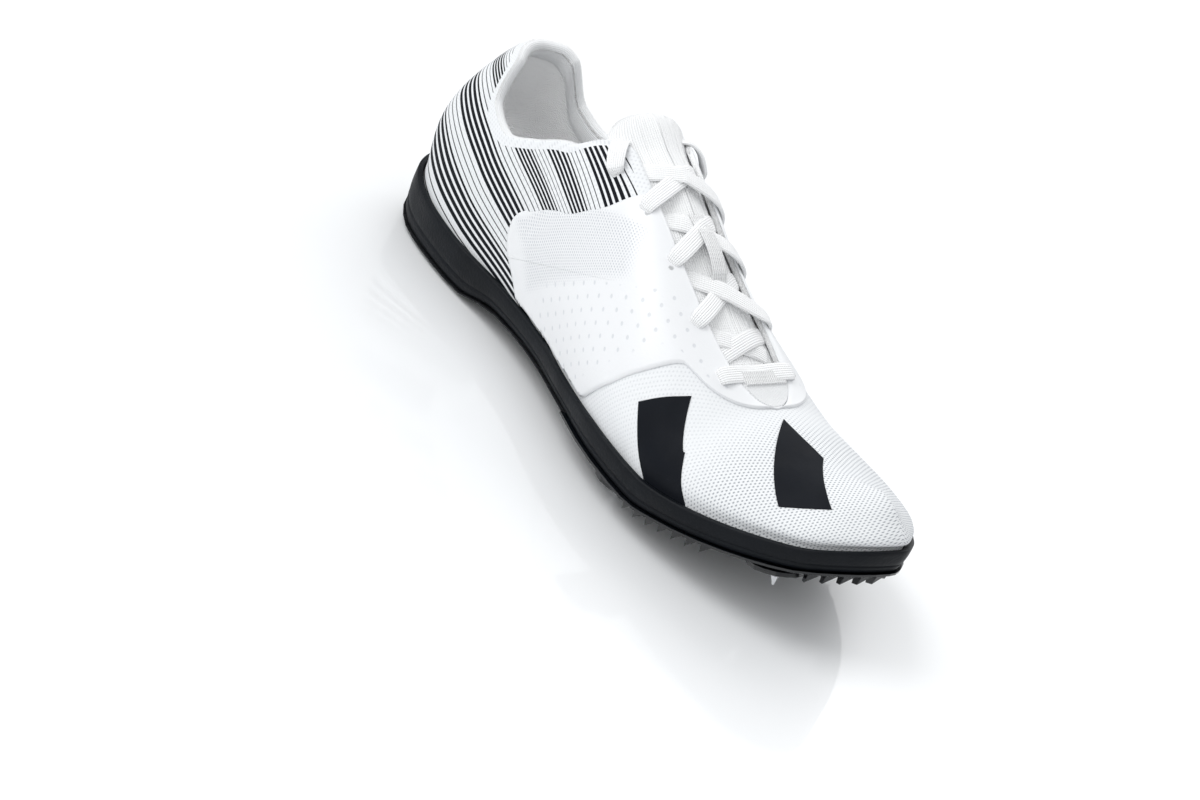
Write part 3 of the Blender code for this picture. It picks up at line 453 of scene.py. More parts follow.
def eyelet_distance(last: Last, points: Array) -> Array:
    """Distance from each point to the nearest eyelet's centre.

    Args:
        last: the form.
        points: places on the upper.

    Returns:
        The distances.
    """
    pairs = range(len(EYELETS))
    centres = np.array([eyelet_place(last, pair, side)[0] for pair in pairs for side in SIDES])
    return np.linalg.norm(points[..., None, :] - centres, axis=-1).min(-1)


def eyelet_place(last: Last, pair: int, side: int) -> tuple[Array, float]:
    """Point of an eyelet on the upper, a set distance down from the throat's edge.

    Args:
        last: the form.
        pair: eyelet pair from the toe end.
        side: LATERAL or MEDIAL.

    Returns:
        The point, and its plan distance off the spine.
    """
    x = last.throat_top + last.throat_length * EYELETS[pair]
    rib = Rib(last, last.station_of_spine(np.full(EYELET_SAMPLES, x)), side)
    path = rib.points(rib.edge_angle() * np.linspace(1, 0, EYELET_SAMPLES))
    point = np.array([np.interp(EYELET_INSET, walked(path), path[:, axis]) for axis in range(3)])
    return point, float(np.linalg.norm(point[:2] - rib.top[0]))


def crease_depth(points: Array) -> Array:
    """Soft troughs along plan lines: depth times a Gaussian of the distance to each line.

    Args:
        points: places on the upper.

    Returns:
        How far each point is moved out, below 0 in a trough.
    """
    total = np.zeros(len(points))
    for x0, y0, x1, y1, width, depth in CREASES:
        start, run = np.array([x0, y0]), np.array([x1 - x0, y1 - y0])
        share = np.clip((points[:, :2] - start) @ run / (run @ run), 0, 1)
        away = np.linalg.norm(points[:, :2] - start - share[:, None] * run, axis=1)
        total += depth * np.exp(-(away / width) ** 2) * np.sin(np.pi * np.clip(share, 0.02, 0.98)) ** 0.5
    return total


class Sheet:
    """Open surface welded from grids, which can be offset and thickened."""

    def __init__(self, grids: list[Array], flips: list[bool],
                 fields: list[dict[str, Array]] | None = None) -> None:
        """Welds the grids; fields holds, for each grid, arrays over its points that ride along.

        Args:
            grids: arrays of points over two parameters.
            flips: whether each grid's faces are turned round.
            fields: arrays per point of each grid, by name.
        """
        raw, quads, count = [], [], 0
        for grid, flip in zip(grids, flips):
            cells = grid_quads(grid.shape[:2], count)
            quads.append(cells[:, ::-1] if flip else cells)
            raw.append(grid.reshape(-1, 3))
            count += len(raw[-1])
        raw, self.raw_faces = np.concatenate(raw), np.concatenate(quads)
        fields = fields or [{}]
        self.fields = {
            name: np.concatenate([f[name].reshape(g.size // 3, -1) for f, g in zip(fields, grids)])
            for name in fields[0]
        }
        _, first, joined = np.unique(np.round(raw / WELD).astype(np.int64), axis=0,
                                     return_index=True, return_inverse=True)
        joined = joined.reshape(-1)
        self.points, self.first = raw[first], first
        self.faces = joined[self.raw_faces]
        real = self.faces != np.roll(self.faces, 1, axis=1)
        keep = real.sum(1) >= 3
        self.faces, self.raw_faces, self.real = self.faces[keep], self.raw_faces[keep], real[keep]

    def field(self, name: str) -> Array:
        """A field at the welded points."""
        return self.fields[name][self.first]

    def normals(self) -> Array:
        """Area-weighted normals, the cross of each face's diagonals added at its corners.

        Returns:
            Unit normals of the welded points.
        """
        corner = self.points[self.faces]
        flat = np.cross(corner[:, 2] - corner[:, 0], corner[:, 3] - corner[:, 1])
        total = np.zeros_like(self.points)
        for place in range(4):
            np.add.at(total, self.faces[:, place], flat)
        return unit(total)

    def border(self) -> tuple[Array, Array]:
        """Directed edges that only one face has.

        Returns:
            The edges' welded corners and their raw corners.
        """
        start, end = self.faces, np.roll(self.faces, -1, axis=1)
        raw_start, raw_end = self.raw_faces, np.roll(self.raw_faces, -1, axis=1)
        some = start != end
        pairs = np.stack([start[some], end[some]], 1)
        size = len(self.points)
        lone = ~np.isin(pairs[:, 0] * size + pairs[:, 1], pairs[:, 1] * size + pairs[:, 0])
        return pairs[lone], np.stack([raw_start[some], raw_end[some]], 1)[lone]

    def solid(self, name: str, low: Array | float, high: Array | float, rounding: float = 0.5,
              inner_slot: int = 0) -> bpy.types.Object:
        """Closed piece between two offsets along the normals, with a rounded rim.

        Args:
            name: the piece's name.
            low: offset of its inner face.
            high: offset of its outer face.
            rounding: how far the rim stands out, as a share of the thickness.
            inner_slot: material slot of the inner face.

        Returns:
            The new object.
        """
        normals = self.normals()
        low, high = (np.broadcast_to(offset, len(self.points))[:, None] for offset in (low, high))
        edges, raw_edges = self.border()
        count = len(self.points)
        out = np.zeros_like(self.points)
        away = np.cross(self.points[edges[:, 1]] - self.points[edges[:, 0]], normals[edges].mean(1))
        for place in range(2):
            np.add.at(out, edges[:, place], unit(away))
        middle = self.points + normals * (low + high) / 2 + unit(out) * rounding * (high - low)
        points = np.concatenate([self.points + normals * high, self.points + normals * low, middle])
        a, b = edges.T
        rim = np.concatenate([np.stack([b, a, a + 2 * count, b + 2 * count], 1),
                              np.stack([b + 2 * count, a + 2 * count, a + count, b + count], 1)])
        raw_rim = np.tile(raw_edges[:, [1, 0, 0, 1]], (2, 1))
        faces = np.concatenate([self.faces, self.faces[:, ::-1] + count, rim])
        raw = np.concatenate([self.raw_faces, self.raw_faces[:, ::-1], raw_rim])
        slots = np.repeat([0, inner_slot, inner_slot], [len(self.faces), len(self.faces), len(rim)])
        fields = {k: np.tile(self.field(k), (3, 1)) for k in self.fields if k != "cloth"}
        return make_piece(name, points, faces, self.fields.get("cloth"), raw, fields, slots)


def make_piece(name: str, points: Array, faces: Array, cloth: Array | None = None, raw: Array | None = None,
               fields: dict[str, Array] | None = None, slots: Array | None = None) -> bpy.types.Object:
    """Smooth mesh object from quads, of which some may have a doubled corner.

    Args:
        name: the piece's name.
        points: its points, from the heel.
        faces: quads as rows of four corners.
        cloth: cloth coordinates, by raw corner.
        raw: raw corners of the faces.
        fields: arrays per point, by name.
        slots: material slot of each face.

    Returns:
        The new object, riding on the body.
    """
    mesh = bpy.data.meshes.new(name)
    real = faces != np.roll(faces, 1, axis=1)
    used = np.unique(faces[real])
    place = np.full(len(points), -1)
    place[used] = np.arange(len(used))
    sizes = real.sum(1)
    corners = place[faces[real]]
    mesh.vertices.add(len(used))
    mesh.vertices.foreach_set("co", (points[used] - ORIGIN).ravel())
    mesh.loops.add(len(corners))
    mesh.loops.foreach_set("vertex_index", corners)
    mesh.polygons.add(len(faces))
    mesh.polygons.foreach_set("loop_start", np.r_[0, np.cumsum(sizes)[:-1]])
    if slots is not None:
        mesh.polygons.foreach_set("material_index", slots)
    if cloth is not None:
        layer = mesh.uv_layers.new(name="cloth")
        layer.data.foreach_set("uv", cloth[raw[real]].ravel())
    for key, values in (fields or {}).items():
        mesh.attributes.new(key, "FLOAT", "POINT").data.foreach_set("value", values[used].ravel())
    mesh.update(calc_edges=True)
    mesh.validate()
    mesh.shade_smooth()
    piece = bpy.data.objects.new(name, mesh)
    bpy.context.scene.collection.objects.link(piece)
    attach(piece, "root")
    return piece


def closed_rings(name: str, rings: Array, cloth: Array | None = None) -> bpy.types.Object:
    """Closed piece from rings along a path, with a fan at both ends.

    Args:
        name: the piece's name.
        rings: points over path and ring.
        cloth: cloth coordinates of the rings' points.

    Returns:
        The new object.
    """
    n, m = rings.shape[:2]
    rings = np.concatenate([np.repeat(rings[:1].mean(1, keepdims=True), m, 1), rings,
                            np.repeat(rings[-1:].mean(1, keepdims=True), m, 1)])
    rings = np.concatenate([rings, rings[:, :1]], 1)
    if cloth is None:
        length, girth = walked(rings.mean(1)), walked(rings[n // 2])
        cloth = np.stack(np.meshgrid(length, girth, indexing="ij"), -1)
    else:
        cloth = np.concatenate([cloth[:1], cloth, cloth[-1:]])
    sheet = Sheet([rings], [False], [{"cloth": cloth}])
    flat = np.cross(sheet.points[sheet.faces[:, 2]] - sheet.points[sheet.faces[:, 0]],
                    sheet.points[sheet.faces[:, 3]] - sheet.points[sheet.faces[:, 1]])
    if (flat * (sheet.points[sheet.faces].mean(1) - sheet.points.mean(0))).sum() < 0:
        sheet.faces, sheet.raw_faces = sheet.faces[:, ::-1], sheet.raw_faces[:, ::-1]
    return make_piece(name, sheet.points, sheet.faces, sheet.fields["cloth"], sheet.raw_faces)


def sweep(path: Array, across: Array, up: Array, width: Array, height: Array, sides: int = 16,
          square: float = 2.6) -> Array:
    """Rings of a flat band: superellipse |a/w|^n + |b/h|^n = 1 carried along a path.

    Args:
        path: points of the middle line.
        across: unit vectors across the band.
        up: unit vectors out of its face.
        width: full widths along it.
        height: full thicknesses along it.
        sides: points of a ring.
        square: exponent of the superellipse.

    Returns:
        Points over path and ring.
    """
    a, b = superellipse(2 * np.pi * np.arange(sides) / sides, square)
    half_w, half_h = (np.broadcast_to(size, len(path))[:, None, None] / 2 for size in (width, height))
    return (path[:, None] + across[:, None] * a[None, :, None] * half_w
            + up[:, None] * b[None, :, None] * half_h)


class Shader:
    """Material under construction, with short calls for its nodes."""

    def __init__(self, name: str, colour: tuple, roughness: float, **sockets: float) -> None:
        """Starts a material whose uniform values sit on the shader's own sockets.

        Args:
            name: the material's name.
            colour: its base colour.
            roughness: its roughness.
            sockets: other sockets' values, with underscores for the spaces in their names.
        """
        self.material = bpy.data.materials.new(name)
        self.material.use_nodes = True
        self.tree = self.material.node_tree
        self.main = self.tree.nodes["Principled BSDF"]
        self.main.inputs["Base Color"].default_value = (*colour, 1)
        self.main.inputs["Roughness"].default_value = roughness
        for key, value in sockets.items():
            self.main.inputs[key.replace("_", " ")].default_value = value

    def node(self, kind: str, inputs: dict | None = None, **settings: object) -> bpy.types.Node:
        """Adds a node, sets its properties, and fills or links its inputs.

        Args:
            kind: the node's type without its prefix.
            inputs: values or sockets for its inputs.
            settings: its properties.

        Returns:
            The node.
        """
        node = self.tree.nodes.new("ShaderNode" + kind)
        for key, value in settings.items():
            setattr(node, key, value)
        for key, value in (inputs or {}).items():
            if isinstance(value, bpy.types.NodeSocket):
                self.tree.links.new(value, node.inputs[key])
            else:
                node.inputs[key].default_value = value
        return node

    def math(self, operation: str, *values: object) -> bpy.types.NodeSocket:
        """Result of a math node."""
        return self.node("Math", dict(enumerate(values)), operation=operation).outputs[0]

    def times(self, first: object, *factors: object) -> bpy.types.NodeSocket:
        """Product of values, multiplied from the left.

        Args:
            first: value or socket.
            factors: further values or sockets.

        Returns:
            The product.
        """
        for factor in factors:
            first = self.math("MULTIPLY", first, factor)
        return first

    def value(self, name: str) -> bpy.types.NodeSocket:
        """A float attribute of the piece."""
        return self.node("Attribute", attribute_name=name).outputs["Fac"]

    def cloth(self) -> tuple[bpy.types.NodeSocket, bpy.types.NodeSocket]:
        """The two cloth coordinates, in metres."""
        split = self.node("SeparateXYZ", {0: self.node("UVMap", uv_map="cloth").outputs[0]})
        return split.outputs[0], split.outputs[1]

    def place(self) -> bpy.types.NodeSocket:
        """Object coordinates."""
        return self.node("TexCoord").outputs["Object"]

    def noise(self, scale: float, detail: float = 3.0) -> bpy.types.NodeSocket:
        """Noise on object coordinates, around 0.5."""
        return self.node("TexNoise", {"Vector": self.place(), "Scale": scale, "Detail": detail}).outputs[0]

    def wave(self, coordinate: object, pitch: float, shift: float = 0.0) -> bpy.types.NodeSocket:
        """Sine from -1 to 1 with a pitch in metres."""
        return self.math("SINE", self.math("MULTIPLY_ADD", coordinate, 2 * math.pi / pitch, shift))

    def eyelet_hole_shade(self) -> object:
        """Share of painted shade round the eyelets' centres, drawn in the ink colour for the dark insides of
        the eyelet holes.
        """
        return self.step(self.value("hole"), HOLE_DARK, HOLE_CLEAR, HOLE_SHARE, 0.0)

    def step(self, value: object, low: float, high: float, start: float = 0.0,
             end: float = 1.0) -> object:
        """Smooth step of a value between two edges, mapped to start and end."""
        return self.node("MapRange", {0: value, 1: low, 2: high, 3: start, 4: end},
                         interpolation_type="SMOOTHSTEP").outputs[0]

    def mix(self, share: object, first: tuple, second: object) -> bpy.types.NodeSocket:
        """Colour mixed from two colours by a share.

        Args:
            share: share of the second colour.
            first: colour at 0.
            second: colour at 1.

        Returns:
            The mixed colour.
        """
        node = self.node("Mix", {0: share}, data_type="RGBA")
        for index, colour in ((6, first), (7, second)):
            if isinstance(colour, bpy.types.NodeSocket):
                self.tree.links.new(colour, node.inputs[index])
            else:
                node.inputs[index].default_value = (*colour, 1)
        return node.outputs[2]

    def finish(self, colour: object = None, rough: object = None, height: object = None,
               depth: float = 0.0) -> bpy.types.Material:
        """Links colour, roughness and a bump whose depth is in metres.

        Args:
            colour: socket for the colour.
            rough: socket for the roughness.
            height: socket from 0 to 1 for the relief.
            depth: the relief's depth.

        Returns:
            The finished material.
        """
        if colour is not None:
            self.tree.links.new(colour, self.main.inputs["Base Color"])
        if rough is not None:
            self.tree.links.new(rough, self.main.inputs["Roughness"])
        if height is not None:
            bump = self.node("Bump", {"Height": height, "Distance": depth, "Strength": 1.0})
            self.tree.links.new(bump.outputs[0], self.main.inputs["Normal"])
        return self.material


@dataclass(frozen=True)
class MeshCloth:
    """White engineered mesh: rows of small holes, and the printed stripes round the heel."""

    name: str = "white_mesh"
    white: tuple = (0.83, 0.845, 0.86)
    # Grey of the holes: painted shade of the inside seen through them.
    hole: tuple = (0.30, 0.32, 0.35)
    pitch: float = 1.55 * MM
    row_share: float = 0.87
    knit: tuple = (0.55 * MM, 0.7 * MM)
    depth: float = 0.22 * MM
    # Colour of the printed stripes, also used for the eyelet holes' painted shade.
    ink: tuple = (0.004, 0.0055, 0.009)
    stripe_pitch: float = 2.85 * MM
    stripes_in_group: int = 8
    stripes_end: float = 0.140
    band: float = 4.2 * MM

    def material(self, striped: bool = True) -> bpy.types.Material:
        """Holes where two crossed sines peak, painted grey as the shade seen through them; ink where a
        sawtooth of the stripe field is under a duty.

        Args:
            striped: whether the heel print is drawn.

        Returns:
            The material.
        """
        s = Shader(self.name, self.white, 0.75, Specular_IOR_Level=0.15)
        u, v = s.cloth()
        row = self.pitch * self.row_share
        offset = s.times(s.math("FLOOR", s.math("DIVIDE", v, row)), 0.5 * self.pitch)
        across = s.math("ADD", u, offset)
        cell = s.times(s.wave(v, 2 * row), s.wave(v, 2 * row))
        dots = s.times(s.step(s.wave(across, self.pitch), 0.0, 0.9), cell)
        front = s.step(s.value("ahead"), 0.200, 0.222)
        toe = s.math("MULTIPLY_ADD", front, 0.72, 0.22)
        knit = s.times(s.wave(u, self.knit[0]), s.wave(v, self.knit[1]))
        holes = s.times(dots, toe)
        cloud = s.step(s.noise(38.0), 0.3, 0.7, 0.97, 1.0)
        # The holes are the mesh's own pattern; their grey is painted shade seen through them.
        colour = s.mix(holes, self.white, self.hole)
        colour = s.mix(cloud, tuple(c * 0.93 for c in self.white), colour)
        if striped:
            field = s.value("stripe")
            saw = s.math("FRACT", s.math("DIVIDE", field, self.stripe_pitch))
            group = s.wave(field, self.stripes_in_group * self.stripe_pitch, 0.6)
            duty = s.step(group, -0.55, 0.35, 0.20, 0.62)
            ink = s.step(s.math("SUBTRACT", duty, saw), -0.025, 0.025)
            low = s.step(saw, 0.0, 0.05)
            clear = s.times(s.step(s.value("below"), self.band, self.band + 0.3 * MM),
                            s.step(s.value("ahead"), self.stripes_end, self.stripes_end + 0.5 * MM, 1.0, 0.0))
            ink = s.times(ink, low, clear)
            colour = s.mix(ink, colour, self.ink)
        # Painted shade: the eyelet holes' dark insides, in the ink colour.
        colour = s.mix(s.eyelet_hole_shade(), colour, self.ink)
        relief = s.math("MULTIPLY_ADD", knit, 0.12, s.times(holes, -0.9))
        return s.finish(colour=colour, height=relief, depth=self.depth)


@dataclass(frozen=True)
class Film:
    """Smooth white film of the saddle, with a dotted window, pinholes and a welded line."""

    name: str = "white_film"
    white: tuple = (0.82, 0.83, 0.845)
    # Grey of the window's dots and the pinholes: painted shade seen through the holes.
    dot: tuple = (0.36, 0.39, 0.44)
    # Colour of the eyelet holes' painted shade.
    ink: tuple = (0.004, 0.0055, 0.009)
    window_pitch: float = 2.1 * MM
    window_at: tuple = (0.098, 0.46)
    pin_pitch: float = 10.5 * MM
    line_slope: float = -0.55
    line_at: float = -0.0143
    depth: float = 0.15 * MM

    def material(self) -> bpy.types.Material:
        """Dots where the product of two sines passes a level, inside soft windows; the dots and the pinholes
        are holes, painted grey as the shade seen through them.

        p and q run over the dotted window, which is a slanted patch of place ahead and
        share of the girth. The welded line lies where z + line_slope x is line_at.

        Returns:
            The material.
        """
        s = Shader(self.name, self.white, 0.42, Coat_Weight=0.15, Coat_Roughness=0.3)
        u, v = s.cloth()
        split = s.node("SeparateXYZ", {0: s.place()})
        x, z = s.math("ADD", split.outputs[0], ORIGIN[0]), split.outputs[2]
        tilt = s.math("MULTIPLY_ADD", x, self.line_slope, z)
        ahead = s.math("SUBTRACT", s.value("ahead"), self.window_at[0])
        share = s.math("SUBTRACT", s.value("share"), self.window_at[1])
        p = s.math("MULTIPLY_ADD", ahead, 17.63, s.times(share, 0.913))
        q = s.math("MULTIPLY_ADD", ahead, 21.12, s.times(share, -1.9))
        far = s.step(s.math("MULTIPLY_ADD", p, 0.32, q), 0.9, 1.05, 1.0, 0.0)
        window = s.times(s.step(q, 0.0, 0.08), s.step(p, -0.05, 0.05), far,
                         s.step(p, 1.05, 1.2, 1.0, 0.0))
        fine = s.times(s.wave(u, self.window_pitch), s.wave(v, self.window_pitch))
        fine = s.times(s.step(s.math("ABSOLUTE", fine), 0.55, 0.8), window)
        zone = s.times(s.step(x, 0.104, 0.110), s.step(tilt, -0.0165, -0.0155, 1.0, 0.0),
                       s.step(s.value("border"), 6 * MM, 8 * MM))
        pins = s.times(s.wave(u, self.pin_pitch), s.wave(v, self.pin_pitch))
        pins = s.times(s.step(s.math("ABSOLUTE", pins), 0.88, 0.97), zone)
        away = s.math("ABSOLUTE", s.math("ADD", tilt, -self.line_at))
        line = s.times(s.step(away, 0.35 * MM, 0.6 * MM, 1.0, 0.0), s.step(x, 0.135, 0.14, 1.0, 0.0))
        marks = s.math("MAXIMUM", s.times(fine, 0.55), s.times(pins, 0.32))
        # Painted shade: the window's dots and the pinholes darkened as the shade seen through them.
        colour = s.mix(marks, self.white, self.dot)
        # Painted shade: the eyelet holes' dark insides, in the ink colour.
        colour = s.mix(s.eyelet_hole_shade(), colour, self.ink)
        grain = s.step(s.noise(900.0, 2.0), 0.3, 0.7, 0.0, 0.10)
        relief = s.math("ADD", s.math("ADD", grain, s.times(marks, -1.0)), s.times(line, 0.8))
        rough = s.step(s.noise(60.0), 0.3, 0.7, 0.38, 0.46)
        return s.finish(colour=colour, height=relief, depth=self.depth, rough=rough)


@dataclass(frozen=True)
class Knit:
    """Knitted or woven cloth with ribs along u and stitches across them."""

    name: str
    colour: tuple
    rib: float
    stitch: float
    roughness: float = 0.85
    # Share of the colour left in the relief's low parts, whose darkening is painted shade.
    dark: float = 0.80
    depth: float = 0.35 * MM
    glow: float = 0.0

    def material(self) -> bpy.types.Material:
        """Ribs as a sine across the cloth, with a finer sine along each rib; the low parts of the relief are
        darkened as painted shade.

        Returns:
            The material.
        """
        s = Shader(self.name, self.colour, self.roughness, Sheen_Weight=0.3, Sheen_Roughness=0.5,
                   Subsurface_Weight=self.glow, Subsurface_Scale=6 * MM)
        s.main.inputs["Subsurface Radius"].default_value = (1.0, 1.0, 1.0)
        u, v = s.cloth()
        ribs = s.math("ABSOLUTE", s.wave(v, 2 * self.rib))
        slant = s.math("MULTIPLY_ADD", ribs, 0.5 * self.stitch, u)
        loops = s.math("ABSOLUTE", s.wave(slant, 2 * self.stitch))
        relief = s.math("MULTIPLY_ADD", loops, 0.35, ribs)
        # Painted shade: the grooves between ribs and stitches take a darker copy of the colour.
        shade = s.step(relief, 0.10, 0.9)
        colour = s.mix(shade, tuple(c * self.dark for c in self.colour), self.colour)
        return s.finish(colour=colour, height=relief, depth=self.depth)


@dataclass(frozen=True)
class Moulded:
    """Moulded foam, rubber or plastic: fine grain, soft cloudiness and a set gloss."""

    name: str
    colour: tuple
    roughness: float
    coat: float = 0.0
    grain: float = 900.0
    depth: float = 0.04 * MM
    metallic: float = 0.0
    squares: float = 0.0
    specular: float = 0.5

    def material(self) -> bpy.types.Material:
        """Noise grain, with a grid of small squares where the finish has one.

        Returns:
            The material.
        """
        s = Shader(self.name, self.colour, self.roughness, Coat_Weight=self.coat, Coat_Roughness=0.12,
                   Metallic=self.metallic, Specular_IOR_Level=self.specular)
        cloud = s.step(s.noise(45.0), 0.3, 0.7)
        colour = s.mix(cloud, tuple(c * 0.85 for c in self.colour), tuple(c * 1.12 for c in self.colour))
        rough = s.step(s.noise(70.0), 0.3, 0.7, self.roughness * 0.9, self.roughness * 1.12)
        relief = s.step(s.noise(self.grain, 2.0), 0.3, 0.7)
        if self.squares:
            split = s.node("SeparateXYZ", {0: s.place()})
            grid = [s.step(s.wave(split.outputs[axis], self.squares), 0.55, 0.95) for axis in (0, 1)]
            relief = s.math("MULTIPLY_ADD", s.math("MAXIMUM", *grid), -4.0, relief)
        return s.finish(colour=colour, rough=rough, height=relief, depth=self.depth)


class Part(Enum):
    """Finishes of the record, one for each kind of piece made here."""

    MESH = "white_mesh"
    FILM = "white_film"
    KNIT = "white_knit"
    LACE = "white_lace"
    LINING = "grey_lining"
    FOAM = "black_foam"


@dataclass
class Wardrobe:
    """Every material of the shoe, made once."""

    mesh: bpy.types.Material = field(default_factory=lambda: MeshCloth().material())
    film: bpy.types.Material = field(default_factory=lambda: Film().material())
    tongue: bpy.types.Material = field(default_factory=lambda: Knit(
        "tongue_knit", (0.95, 0.955, 0.96), 1.05 * MM, 1.0 * MM, 0.85, 0.94, 0.22 * MM).material())
    lace: bpy.types.Material = field(default_factory=lambda: Knit(
        "lace_weave", (0.94, 0.945, 0.95), 0.9 * MM, 0.9 * MM, 0.75, 0.94, 0.2 * MM).material())
    webbing: bpy.types.Material = field(default_factory=lambda: Knit(
        "webbing", (0.90, 0.905, 0.91), 0.9 * MM, 1.5 * MM, 0.7, 0.80, 0.35 * MM).material())
    collar: bpy.types.Material = field(default_factory=lambda: Knit(
        "collar_knit", (0.86, 0.87, 0.88), 0.7 * MM, 0.7 * MM, 0.8, 0.9, 0.15 * MM).material())
    lining: bpy.types.Material = field(default_factory=lambda: Knit(
        "lining_net", (0.97, 0.975, 0.98), 1.0 * MM, 1.0 * MM, 0.85, 0.95, 0.2 * MM, 0.8).material())
    thread: bpy.types.Material = field(default_factory=lambda: Moulded(
        "thread", (0.93, 0.935, 0.94), 0.7, grain=3000.0, specular=0.3).material())
    foam: bpy.types.Material = field(default_factory=lambda: Moulded(
        "midsole_foam", (0.004, 0.0055, 0.008), 0.5, depth=0.05 * MM, specular=0.16).material())
    rubber: bpy.types.Material = field(default_factory=lambda: Moulded(
        "heel_rubber", (0.007, 0.008, 0.010), 0.6, depth=0.08 * MM, squares=3.2 * MM,
        specular=0.3).material())
    plate: bpy.types.Material = field(default_factory=lambda: Moulded(
        "gloss_plate", (0.005, 0.006, 0.008), 0.22, coat=0.3, depth=0.012 * MM, specular=0.4).material())
    steel: bpy.types.Material = field(default_factory=lambda: Moulded(
        "spike_steel", (0.72, 0.73, 0.75), 0.24, metallic=1.0, depth=0.02 * MM).material())
    dark: bpy.types.Material = field(default_factory=lambda: Moulded(
        "dark_ink", (0.005, 0.0065, 0.01), 0.6, depth=0.01 * MM, specular=0.12).material())

    def dress(self, piece: bpy.types.Object, part: Part, *materials: bpy.types.Material) -> None:
        """Puts the materials on a piece, slot by slot.

        Args:
            piece: the piece.
            part: the record's finish; not used.
            materials: the piece's materials, slot by slot.
        """
        for material in materials:
            piece.data.materials.append(material)


@dataclass
class Upper:
    """Mesh upper with its lining, the padded collar roll, and the stripes' field."""

    last: Last
    wardrobe: Wardrobe
    wall: float = 2.0 * MM
    pad: float = 2.6 * MM
    pad_start: float = 0.3
    pad_full: float = 0.6
    stations: int = 230
    rows: int = 56
    roll_stations: int = 150
    roll_sides: int = 28
    roll_square: float = 2.3
    roll_proud: float = 0.45 * MM
    roll_drop: float = 5.2 * MM
    roll_over: float = 0.9 * MM
    roll_lean: float = -0.16
    roll_fade: float = 0.06

    def stripe_field(self, points: Array) -> Array:
        """Height plus a slope times the distance ahead, whose slope changes with height.

        Args:
            points: places on the upper.

        Returns:
            The field, whose level lines the stripes follow.
        """
        x, z = points[..., 0], points[..., 2]
        slope = smooth([0.0, 0.015, 0.027, 0.048, 0.065, 0.090, 0.12],
                       [0.06, 0.10, 0.19, 0.33, 0.34, 0.24, 0.20], z)
        plain = z + slope * (x - 60 * MM)
        return plain + 0.65 * np.maximum(plain - 62 * MM, 0)

    def sheet(self) -> Sheet:
        """The upper's outside from both sides, with cloth and stripe fields.

        Returns:
            The sheet.
        """
        last = self.last
        turn = last.throat_top + last.throat_length * np.array([0.985, 0.995, 1.0])
        stations = np.sort(np.r_[np.linspace(0, 1, self.stations), last.station_of_spine(turn)])
        grids = [read_wall(last, stations, side, np.linspace(0, 1, self.rows)) for side in SIDES]
        fields = [{"cloth": g.cloth, "below": g.below, "ahead": g.ahead,
                   "stripe": self.stripe_field(g.points), "hole": eyelet_distance(last, g.points)}
                  for g in grids]
        return Sheet([g.points for g in grids], [False, True], fields)

    def build(self) -> None:
        """Shell with the lining inside; its wall swells to a pad under the collar."""
        sheet = self.sheet()
        height = (sheet.points[:, 2] - self.last.bed(sheet.points[:, 0])) / self.last.collar
        pad = self.pad * self.last.wrap.read("pad", sheet.points[:, 0] / self.last.length)
        crease = crease_depth(sheet.points)
        inside = -(self.wall + pad * ease(self.pad_start, self.pad_full, height)) + crease
        shell = sheet.solid("upper_shell", inside, crease, rounding=0.0, inner_slot=1)
        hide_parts("upper")
        self.wardrobe.dress(shell, Part.MESH, self.wardrobe.mesh, self.wardrobe.lining)
        self.build_collar()

    def build_collar(self) -> None:
        """Padded roll over the topline: a superellipse ring carried round the collar's edge."""
        end = float(self.last.station_of_spine(self.last.throat_top + 6 * MM))
        stations = np.linspace(0, end, self.roll_stations)
        parts = []
        for side in SIDES:
            shares = np.linspace(0.8, 1, 5)
            grid = read_wall(self.last, stations, side, shares).points
            normal = unit(side * np.cross(np.gradient(grid, axis=1), np.gradient(grid, axis=0)))[:, -1]
            rise = unit(grid[:, -1] - grid[:, -2])
            parts.append((grid[:, -1], normal, rise))
        edge, normal, rise = (np.concatenate([parts[0][i][::-1], parts[1][i][1:]]) for i in range(3))
        middle = len(stations) - 1
        for values in (normal, rise):
            values[middle] = unit(values[middle - 1] + values[middle + 1])
        share = edge[:, 0] / self.last.length
        place = np.linspace(0, 1, len(edge))
        fade = ease(0.0, self.roll_fade, place) * ease(0.0, self.roll_fade, place[::-1])
        thick = self.wall + self.pad * self.last.wrap.read("pad", share) + 2 * self.roll_proud * fade
        turn = np.linspace(0, 2 * np.pi, self.roll_sides + 1)[:-1]
        a, b = superellipse(turn, self.roll_square)
        down = (self.roll_drop * (1 - b))[None] - (self.roll_over * fade)[:, None]
        lean = self.roll_lean * down
        depth = -(thick / 2 - self.roll_proud * fade)[:, None] + a[None] * thick[:, None] / 2 + lean
        rings = edge[:, None] + normal[:, None] * depth[..., None] - rise[:, None] * down[..., None]
        roll = closed_rings("collar_roll", rings)
        self.wardrobe.dress(roll, Part.MESH, self.wardrobe.collar)


